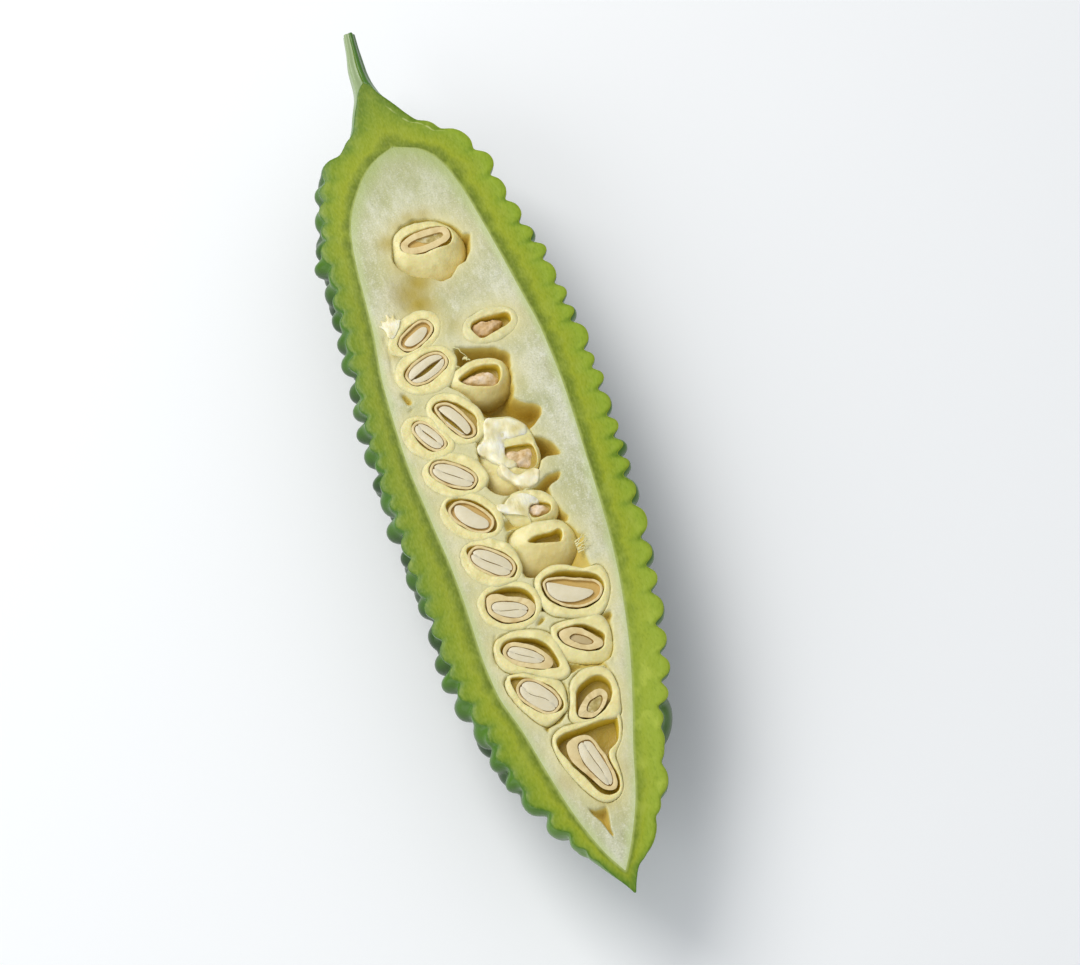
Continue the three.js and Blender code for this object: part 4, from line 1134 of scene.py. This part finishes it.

# %% [markdown]
# ## Pith
#
# The pith is soft and spongy: flat where the knife went, sunk where pulp and seeds tore away. It is a
# loft like the wall, with many columns across its top, and the top is pressed down by a map of depths:
# a bowl under each pulp, and each hollow as an outline with soft or sharp walls.

# %% The map of depths
# Hollows: depth, softness of the wall, corners. All in millimetres, drawn like the outlines.
HOLLOWS = [
    (6.5, 1.1, [(-5, 51), (-3.2, 54.4), (0, 55.8), (3.5, 55.2), (6, 53.8), (8.3, 51.5), (9.6, 49.4),
                (10.5, 49.1), (11.9, 48.6), (11.2, 46.2), (10.1, 43.9), (8.6, 42.2), (6.4, 41), (5.6, 40),
                (4.4, 38.9), (2.4, 38.4), (0.4, 39.6), (-2.2, 41.8), (-3.4, 44), (-4.4, 47)]),
    (1.6, 9.0, [(-10.4, 43.5), (-2, 44), (0.5, 39), (1.2, 33), (-3.8, 31), (-9, 31.5), (-11, 37)]),
    (5.5, 1.0, [(-0.9, 17), (-0.4, 21.5), (1, 21.2), (4, 20.4), (8, 19.3), (10.5, 18), (11.3, 16.2),
                (10.9, 13.6), (9.8, 12), (8, 14), (2, 15)]),
    (3.0, 0.7, [(-14.2, 14.2), (-13.2, 13.4), (-12.3, 11.2), (-12.8, 10.1), (-13.9, 10.4),
                (-14.4, 12.4)]),
    (2.6, 0.5, [(-14.4, 8.0), (-13.5, 9.1), (-11.6, 9.9), (-12.4, 8.8), (-13.6, 8.1)]),
    (1.2, 0.6, [(-13.0, 29.5), (-13.6, 25), (-13.7, 21), (-14.2, 16), (-14.9, 16), (-14.6, 22),
                (-14.2, 28)]),
    (6.5, 1.3, [(-0.6, 8.6), (0.5, 6), (1.3, 2.6), (2.5, 2.1), (4.5, 1.7), (7, 0.7), (8.3, -0.1),
                (9.1, -1.6), (9.2, -3.1), (10, -2.7), (11.5, -1.9), (13.8, 0), (14.3, 2), (12.5, 3.7),
                (10.1, 4.7), (9.3, 6), (9.9, 8.5), (9.6, 10.6), (5, 9.5)]),
    (6.0, 1.3, [(8.6, -4.2), (10.4, -4.4), (12.6, -5.4), (14.7, -8.3), (15.2, -10.5), (13.4, -10.5),
                (11.6, -10.2), (9.9, -11), (9.2, -11.8), (8.0, -11.6), (8.0, -7.5)]),
    (5.0, 1.2, [(4.6, -17), (7.5, -16), (11, -14.2), (13.5, -13.9), (13.8, -14.9), (13, -16.1),
                (11, -16.9), (10.1, -17.6), (9.9, -20), (10.9, -22.5), (12.3, -25), (11.5, -26.5),
                (8.4, -24.6), (6.5, -20.5)]),
    (3.0, 1.5, [(-2.2, -22), (-2.2, -25.3), (0, -24.9), (3.4, -24.9), (3.6, -23), (1, -22)]),
    (3.0, 1.6, [(11.4, -27.5), (12.8, -29), (14.3, -30), (13.6, -31.7), (13.3, -34), (13.2, -37),
                (14, -38.5), (9, -38), (1, -37), (-1.7, -36.6), (-1.5, -31.5), (5, -31.5), (10.5, -31)]),
    (3.0, 0.8, [(11.7, -49), (13.9, -48.5), (14.4, -50), (13.2, -51.6), (12.6, -55), (11.3, -60.3),
                (10.8, -60.2), (12.2, -54), (12.4, -51.5)]),
    (3.0, 1.0, [(0.6, -57.2), (4, -58.2), (8.5, -58.6), (9.9, -60.6), (10.6, -62.6), (9.6, -62.2),
                (8.4, -60.6), (6, -60), (3, -59.9), (1.6, -60.2)]),
    (3.0, 0.8, [(-7.5, -70.1), (-4, -69.1), (-1.9, -67.4), (-0.5, -63), (-0.2, -61.4), (0.5, -61.4),
                (0.1, -64.5), (-1.1, -68.2), (-3.6, -70.1), (-6, -70.8), (-6.5, -72.3)]),
    (3.0, 0.9, [(0, -41.5), (0.7, -42.6), (1.5, -44.8), (0.1, -45.5), (-0.5, -44.6)]),
    (3.0, 0.8, [(-2.9, -48.6), (-0.6, -45.9), (1.2, -46.4), (-1, -47.8)]),
    (2.4, 0.6, [(-12.1, -49.7), (-11.1, -47.1), (-10.3, -47.5), (-11.3, -49), (-12.1, -51.5),
                (-12.6, -54.8), (-13.1, -54.6), (-12.7, -51.5)]),
    (3.0, 0.8, [(-4.2, -89.2), (-2.2, -90.2), (0.4, -89.9), (0.1, -92.5), (-0.3, -96.2), (-0.8, -97.4),
                (-2.3, -93)]),
    (1.6, 0.8, [(-1.5, -86.5), (0.3, -87.8), (2.6, -88.4), (1.4, -89), (-0.6, -88.8)]),
]


def polygon_depth(points, polygon):
    """How far each point lies inside any polygon, 0 outside."""
    polygon = np.asarray(polygon, float)
    ahead = np.roll(polygon, -1, axis=0)
    run = ahead - polygon
    away = points[:, None] - polygon
    share = np.clip((away * run).sum(-1) / (run**2).sum(-1), 0, 1)
    distance = np.linalg.norm(away - share[..., None] * run, axis=-1).min(1)
    crosses = (polygon[:, 1] > points[:, 1:]) != (ahead[:, 1] > points[:, 1:])
    rise = np.where(np.abs(run[:, 1]) < 1e-9, 1e-9, run[:, 1])
    reached = points[:, :1] < polygon[:, 0] + away[..., 1] / rise * run[:, 0]
    within = (crosses & reached).sum(1) % 2 == 1
    return np.where(within, distance, 0.0)


BOWL_DEPTH = 8.6  # of the bowl under each pulp
PULP_NEAR = 3.4  # how far the cream colour round a pulp reaches


def pith_depths(x, y):
    """How far the pith's top lies under the cut, where it is torn, and how near pulp is."""
    points = np.stack([x.ravel(), y.ravel()], -1)
    sway = np.array([noise.noise_vector(Vector((px, py, 0)) * 0.45)[:2] for px, py in points]) * 0.4
    depth, near, torn = (np.zeros(len(points)) for _ in range(3))
    for deepest_place, soft, corners in HOLLOWS:
        corners = np.array(corners) + SHIFT
        here = ((points > corners.min(0) - 1) & (points < corners.max(0) + 1)).all(1)
        inside = polygon_depth((points + sway)[here], corners)
        wall = deepest_place * (1 - np.exp(-inside / soft)) * soft_step(inside, 0, 0.25 + 0.3 * soft)
        depth[here] = np.maximum(depth[here], wall)
        if soft < 3:
            torn[here] = np.maximum(torn[here], wall)
    for cell in cells:
        away = points - cell.middle
        reach = reach_of(cell.pulp, cell.middle, cell.soften)
        angle = np.arctan2(away[:, 1], away[:, 0])
        edge = np.interp(angle, turns, reach, period=2 * math.pi)
        share = np.linalg.norm(away, axis=1) / edge
        bowl = BOWL_DEPTH * np.sqrt(np.clip(1 - share**2, 0, 1)) ** 0.8
        depth, torn = np.maximum(depth, bowl), np.maximum(torn, bowl)
        beyond = np.clip(np.linalg.norm(away, axis=1) - edge, 0, None)
        near = np.maximum(near, np.exp(-beyond / PULP_NEAR))
    depth, torn, near = (values.reshape(x.shape) for values in (depth, torn, near))
    smooth(depth)
    smooth(torn)
    return depth, torn, near


# Soft stains in the pith, and a painted shadow: the last three spots, along the top of pulp 1, stand for
# the shade in the gap between that bag and the pith. Place, spread, strength.
STAINS_AND_SHADE = [((-4.4, 34.4), 2.9, 1.0), ((-3.0, 39.6), 2.6, 1.0), ((-5, 37.2), 3.6, 0.9),
          ((-6.6, 51), 1.8, 0.75), ((-5.5, 44.5), 2.2, 0.5), ((1.5, 27), 1.8, 0.3), ((3, 35), 1.8, 0.22),
          ((8.5, 35), 1.8, 0.16), ((-6.5, -83), 1.6, 0.35), ((5, -83), 2.0, 0.25), ((-13, 23), 1.0, 0.6),
          ((0.5, -88.5), 1.5, 0.6), ((-3.4, 54.6), 1.5, 0.5), ((-0.6, 56.2), 1.5, 0.55),
          ((2.6, 56.2), 1.5, 0.5)]


def stain_and_shade_at(x, y):
    stain = np.zeros_like(x)
    for middle, spread, strength in STAINS_AND_SHADE:
        px, py = np.array(middle) + SHIFT
        stain = np.maximum(stain, strength * np.exp(-((x - px) ** 2 + (y - py) ** 2) / (2 * spread**2)))
    return stain


# %% The pith's mesh
ACROSS, UNDER = 112, 12
y = np.linspace(PITH_END, PITH_TOP, 620)
left, right = through(PITH_LEFT, y), through(PITH_RIGHT, y)
share = np.linspace(0, 1, ACROSS + 1)
x = left[:, None] + (right - left)[:, None] * share
wide_y = y[:, None] * np.ones_like(x)
depth, torn, near = pith_depths(x, wide_y)
room = np.sqrt(np.clip((x - left[:, None]) * (right[:, None] - x), 0, None))
depth = np.minimum(depth, 0.85 * room)
top = np.stack([x, wide_y, CUT - depth], -1)
turn = np.linspace(0, math.pi, UNDER + 1)[1:-1]
half, middle = (right - left)[:, None] / 2, (right + left)[:, None] / 2
under = np.stack([middle + half * np.cos(turn), y[:, None] * np.ones((1, UNDER - 1)),
                  CUT - half * np.sin(turn)], -1)
loops = np.concatenate([top, under], axis=1)
from_sides = np.minimum(x - left[:, None], right[:, None] - x)
marks = {"torn": torn, "near_pulp": near, "stain": stain_and_shade_at(x, wide_y),
         "from_wall": np.minimum(from_sides, PITH_TOP - wide_y)}
marks = {name: np.pad(values, ((0, 0), (0, UNDER - 1))) for name, values in marks.items()}
pith = loft("spongy_pith", loops, marks)
settle(pith, "pith", "white_pith")


# %% The pith's finish
def pith_look():
    look = Look("spongy_pith", Subsurface_Weight=0.15, Subsurface_Radius=(1.0, 0.9, 0.5),
                Subsurface_Scale=0.8 * MM)
    torn, near, wall = (look.attribute(a) for a in ("torn", "near_pulp", "from_wall"))
    cloud = look.noise(3.5, stretch=(1, 2, 1), detail=4.0)
    patch = look.noise(7.0, stretch=(1, 1.8, 1), detail=3.0)
    fibre = look.noise(1.3, stretch=(1, 1.9, 1), detail=4.0, roughness=0.6)
    speck = look.noise(0.42, detail=2.0, roughness=0.75)
    white = look.mix(look.spread(patch, 0.35, 0.65), "#b5b78a", "#d3d3ba")
    white = look.mix(look.spread(fibre, 0.5, 0.68) * 0.4, white, "#e9e9dc")
    white = look.mix((1 - look.spread(fibre, 0.34, 0.47)) * 0.35, white, "#a4a97c")
    white = look.mix(look.spread(speck, 0.5, 0.72) * 0.5, white, "#9fa684")
    white = look.mix((1 - look.spread(speck, 0.3, 0.46)) * 0.5, white, "#ecece2")
    along = look.axis("Y")
    white = look.mix(look.spread(along, 50, 76) * 0.6, white, "#b1b482")
    cream = look.mix(cloud, "#d2c888", "#e2daa6")
    colour = look.mix(near, white, cream)
    reach = 3.0 + look.spread(along, 45, 72) * 4.0
    green = 1 - look.spread(wall + cloud * 2.0, 0.6, reach)
    colour = look.mix(green * 0.8, colour, look.mix(look.spread(along, 50, 72), "#c0cc8e", "#a5b468"))
    # Painted shadow in part: the stain map darkens the pith to olive gold at the stains and along the top
    # of pulp 1.
    colour = look.mix(look.attribute("stain"), colour, look.mix(cloud, "#9a8420", "#b8a43e"))
    # Golden where the pith is torn, and painted shade: the deeper a hollow, the darker it is painted,
    # down to olive brown.
    torn_gold_and_shade = look.ramp(look.clamp(torn / 7.5), (0.0, "#dfd69c"), (0.09, "#d6c46c"), (0.26, "#ccb252"),
                     (0.6, "#b8982c"), (1.0, "#86701a"))
    colour = look.mix(look.spread(torn, 0.1, 0.9), colour, torn_gold_and_shade)
    normal = look.bump(speck, 0.07, look.bump(fibre, 0.16, look.bump(patch, 0.5)))
    return look.wear(Base_Color=colour, Roughness=0.62, Normal=normal)


pith.data.materials.append(pith_look())

# %% [markdown]
# ## Seed coats
#
# A cut coat is a hard tan ring round its kernel, darker along both its edges, partly in its own colour
# and partly as painted shade of the gaps beside it. It is a slab whose upper face is inset by the
# coat's thickness and extruded down into a cup, and whose rims are bevelled. The cup is shallow,
# because the kernel hides it, and deep only where the kernel's halves stand open.


# %% Cut coats
FILLED = (15, 16, 17, 19, 20)  # coats that thicken up to their kernel
SPLIT = (4, 6)  # coats whose kernel is wide open, so that their floor lies deep
THICK = {1: 1.5}  # coats that aren't as thick as the others
COAT_THICK, COAT_DEPTH, COAT_EDGE = 0.6, 5.6, 0.13


def draw_in(piece, outline, room):
    """Moves the selected face's corners onto an outline, with some room round it."""
    middle = outline.mean(0)
    reach = reach_of(outline, middle) + room
    bpy.ops.object.mode_set(mode="OBJECT")
    for vertex in (v for v in piece.data.vertices if v.select):
        x, y = vertex.co.x / MM - middle[0], vertex.co.y / MM - middle[1]
        far = float(np.interp(math.atan2(y, x), turns, reach, period=2 * math.pi))
        vertex.co.x = (middle[0] + far * x / math.hypot(x, y)) * MM
        vertex.co.y = (middle[1] + far * y / math.hypot(x, y)) * MM
    bpy.ops.object.mode_set(mode="EDIT")


def make_coat(cell):
    top = CUT + 0.02
    piece = slab(f"coat_{cell.number:02d}", cell.coat, top, COAT_DEPTH, 0.55)
    edit(piece)
    pick(piece, "polygons", lambda face, _: face.normal.z > 0.9)
    bpy.ops.mesh.inset(thickness=THICK.get(cell.number, COAT_THICK) * MM, use_even_offset=False)
    if cell.number in FILLED:
        draw_in(piece, cell.kernel, 0.15)
    cup, foot = (2.0, 0.8) if cell.number in SPLIT else (0.6, 1)
    bpy.ops.mesh.extrude_region_move(TRANSFORM_OT_translate={"value": (0, 0, -cup * MM)})
    middle = cell.coat.mean(0)
    bpy.ops.transform.resize(value=(foot, foot, 1),
                             center_override=(middle[0] * MM, middle[1] * MM, (top - cup) * MM))
    bpy.ops.object.mode_set(mode="OBJECT")
    bevel_top(piece, top, COAT_EDGE)
    lumpy(piece, 2.4, 0.16, cell.number)
    lumpy(piece, 0.8, 0.06, cell.number + 20)
    return piece


# %% [markdown]
# ## Whole seeds
#
# Four seeds were missed by the knife and lie in their pockets, wrinkled and tan. Each is a round
# primitive drawn out to its outline, with lumps of three sizes pushed into it for the wrinkles.


# %% Whole seeds
SEED_SUNK, SEED_DEPTH = 0.25, 2.4  # under the cut, and from its top to its middle


def make_whole_seed(cell):
    top, depth = CUT - SEED_SUNK, SEED_DEPTH
    middle = cell.coat.mean(0)
    bpy.ops.object.select_all(action="DESELECT")
    bpy.ops.mesh.primitive_uv_sphere_add(segments=64, ring_count=32, radius=MM)
    piece = bpy.context.object
    piece.name = f"coat_{cell.number:02d}"
    reach = reach_of(cell.coat, middle)
    for vertex in piece.data.vertices:
        x, y, z = vertex.co / MM
        out = math.hypot(x, y)
        angle = math.atan2(y, x)
        far = float(np.interp(angle, turns, reach, period=2 * math.pi)) * out**0.65
        vertex.co.x = (middle[0] + far * math.cos(angle)) * MM
        vertex.co.y = (middle[1] + far * math.sin(angle)) * MM
        vertex.co.z = (top - depth + depth * z) * MM
    lumpy(piece, 2.2, 0.45, cell.number)
    lumpy(piece, 1.0, 0.25, cell.number + 20)
    lumpy(piece, 0.45, 0.08, cell.number + 30)
    return piece


# %% Coat finishes
def coat_look():
    look = Look("seed_coat", Coat_Weight=0.15, Coat_Roughness=0.3)
    # Painted shade: below the cut the coat is painted darker the deeper it lies: brown on its rounded
    # rims, golden down the cup and near black on the floor of a deep cup.
    low = CUT - look.axis("Z")
    cloud = look.noise(1.3, detail=4.0)
    tan = look.mix(cloud, "#d4b876", "#e6d6a4")
    brown = look.mix(cloud, "#b18a42", "#c09a54")
    colour = look.mix(look.spread(low, 0.0, 0.16) * 0.75, tan, brown)
    colour = look.mix(look.spread(low, 0.3, 0.7), colour, "#cba650")
    colour = look.mix(look.spread(low, 1.0, 1.8), colour, "#3a2408")
    normal = look.bump(look.noise(0.4, detail=3.0), 0.06)
    return look.wear(Base_Color=colour, Roughness=0.5, Normal=normal)


def whole_seed_look(name, golden):
    look = Look(name, Coat_Weight=0.2, Coat_Roughness=0.3)
    cloud = look.noise(1.5, detail=5.0, roughness=0.6)
    colour = look.ramp(cloud, (0.3, "#c9a468"), (0.46, "#e0c494"), (0.6, "#ecd6b8"), (0.75, "#f3e4d4"))
    colour = look.mix(golden, colour, look.mix(cloud, "#b98c48", "#d9b074"))
    normal = look.bump(look.noise(0.7, detail=4.0), 0.16)
    return look.wear(Base_Color=colour, Roughness=0.5, Normal=normal)


coat_finish = coat_look()
pink_finish = whole_seed_look("pink_seed_coat", golden=0.1)
golden_finish = whole_seed_look("golden_seed_coat", golden=0.6)
for cell in cells:
    if "seed_coat" in cell.nodes:
        piece = make_whole_seed(cell) if cell.whole else make_coat(cell)
        whole_finish = golden_finish if cell.number == 3 else pink_finish
        piece.data.materials.append(whole_finish if cell.whole else coat_finish)
        weld_and_face_out(piece)
        settle(piece, "coat", cell.nodes["seed_coat"])

# %% [markdown]
# ## Kernels
#
# The seed meat is ivory and smooth and made of two halves, so a cut one shows a slit. Each half is a
# slab with an outline of its own: the kernel's, shut by the line of the slit, which may bow or wave.

# %% Halves of a kernel
# Slits: width, bow, wave, sideways place in millimetres. A seed that isn't here was cut beside its slit.
SLITS = {4: (1.1, 0.15, 0.1, 0.1), 6: (0.9, 0.2, 0.1, 0.7), 7: (0.3, 0.1, 0.1, -0.2),
         9: (0.14, 0.1, 0.1, 0), 13: (0.16, 0.05, 0.15, 0), 15: (0.1, 0.1, 0.2, 0.2),
         17: (0.08, 0.1, 0.1, 0), 18: (0.08, 0, 0.5, 0.1), 20: (0.1, -0.1, 0.2, 0)}


def halves_of(outline, turn, width, bow, wave, aside):
    """The outlines of the two parts of a kernel on each side of its slit."""
    middle = outline.mean(0)
    ahead = np.array([math.cos(turn), math.sin(turn)])
    over = np.array([-ahead[1], ahead[0]])
    along, across = (outline - middle) @ ahead, (outline - middle) @ over
    long = np.abs(along).max()

    def slit(u):
        return aside + bow * np.cos(math.pi * u / 2 / long) + wave * np.sin(math.pi * u / long)

    parts = []
    for side in (-1, 1):
        kept = side * (across - slit(along)) > 0.06
        first = int(np.argmax(kept & ~np.roll(kept, 1)))
        order = (np.arange(len(outline)) + first) % len(outline)
        arc = order[: int(kept.sum())]
        u = np.linspace(along[arc[-1]], along[arc[0]], 16)[1:-1]
        open_to = 1.0 if width > 0.4 else 0.72
        gap = width / 2 * (1 - (u / long / open_to) ** 2)
        gap -= 0.24 * soft_step(np.abs(u) / long, open_to - 0.17, open_to)
        edge = middle + u[:, None] * ahead + (slit(u) + side * gap)[:, None] * over
        parts.append(np.vstack([outline[arc], edge]))
    return parts


SUNK = {1: 0.45, 16: 0.3, 19: 0.25}  # kernels that lie deeper under the cut than the others
KERNEL_SUNK, KERNEL_DEPTH, KERNEL_EDGE = 0.08, 4.2, 0.11


def make_kernel(cell):
    top = CUT - SUNK.get(cell.number, KERNEL_SUNK)
    outlines = [cell.kernel]
    if cell.number in SLITS:
        outlines = halves_of(cell.kernel, cell.turn, *SLITS[cell.number])
    parts = []
    for i, outline in enumerate(outlines):
        part = slab(f"seed_meat_{cell.number:02d}_{i}", outline, top, KERNEL_DEPTH, 0.6)
        bevel_top(part, top, KERNEL_EDGE)
        parts.append(part)
    if len(parts) > 1:
        select_only(parts[1], parts[0])
        bpy.ops.object.join()
    parts[0].name = f"seed_meat_{cell.number:02d}"
    return parts[0]


# %% Kernel finishes
def kernel_look():
    look = Look("seed_meat", Coat_Weight=0.2, Coat_Roughness=0.25, Subsurface_Weight=0.2,
                Subsurface_Radius=(1.0, 0.9, 0.7), Subsurface_Scale=0.6 * MM)
    # Painted shade: below the cut the meat is painted darker the deeper it lies: tan on its rounded rims,
    # brown down its sides and near black deep in an open slit.
    low = CUT - look.axis("Z")
    cloud = look.noise(1.6, detail=3.0)
    ivory = look.mix(cloud, "#d6caa4", "#e4dabf")
    colour = look.mix(look.spread(low, 0.1, 0.3) * 0.8, ivory, "#b59c62")
    colour = look.mix(look.spread(low, 0.4, 1.2), colour, "#86642a")
    colour = look.mix(look.spread(low, 1.2, 2.2), colour, "#3a2408")
    normal = look.bump(look.noise(0.5, detail=3.0), 0.04)
    return look.wear(Base_Color=colour, Roughness=0.4, Normal=normal)


def shrivelled_look():
    look = Look("shrivelled_seed_meat", Coat_Weight=0.2, Coat_Roughness=0.3)
    cloud = look.noise(1.2, detail=4.0)
    colour = look.ramp(cloud, (0.3, "#94803a"), (0.5, "#b5a25c"), (0.7, "#d4c89c"))
    normal = look.bump(look.noise(0.8, detail=4.0), 0.15)
    return look.wear(Base_Color=colour, Roughness=0.45, Normal=normal)


kernel_finish, shrivelled_finish = kernel_look(), shrivelled_look()
for cell in cells:
    if cell.kernel is not None:
        piece = make_kernel(cell)
        piece.data.materials.append(shrivelled_finish if cell.number in (1, 19) else kernel_finish)
        lumpy(piece, 2.5, 0.08, cell.number + 60)
        weld_and_face_out(piece)
        settle(piece, "kernel", cell.nodes["kernel"])
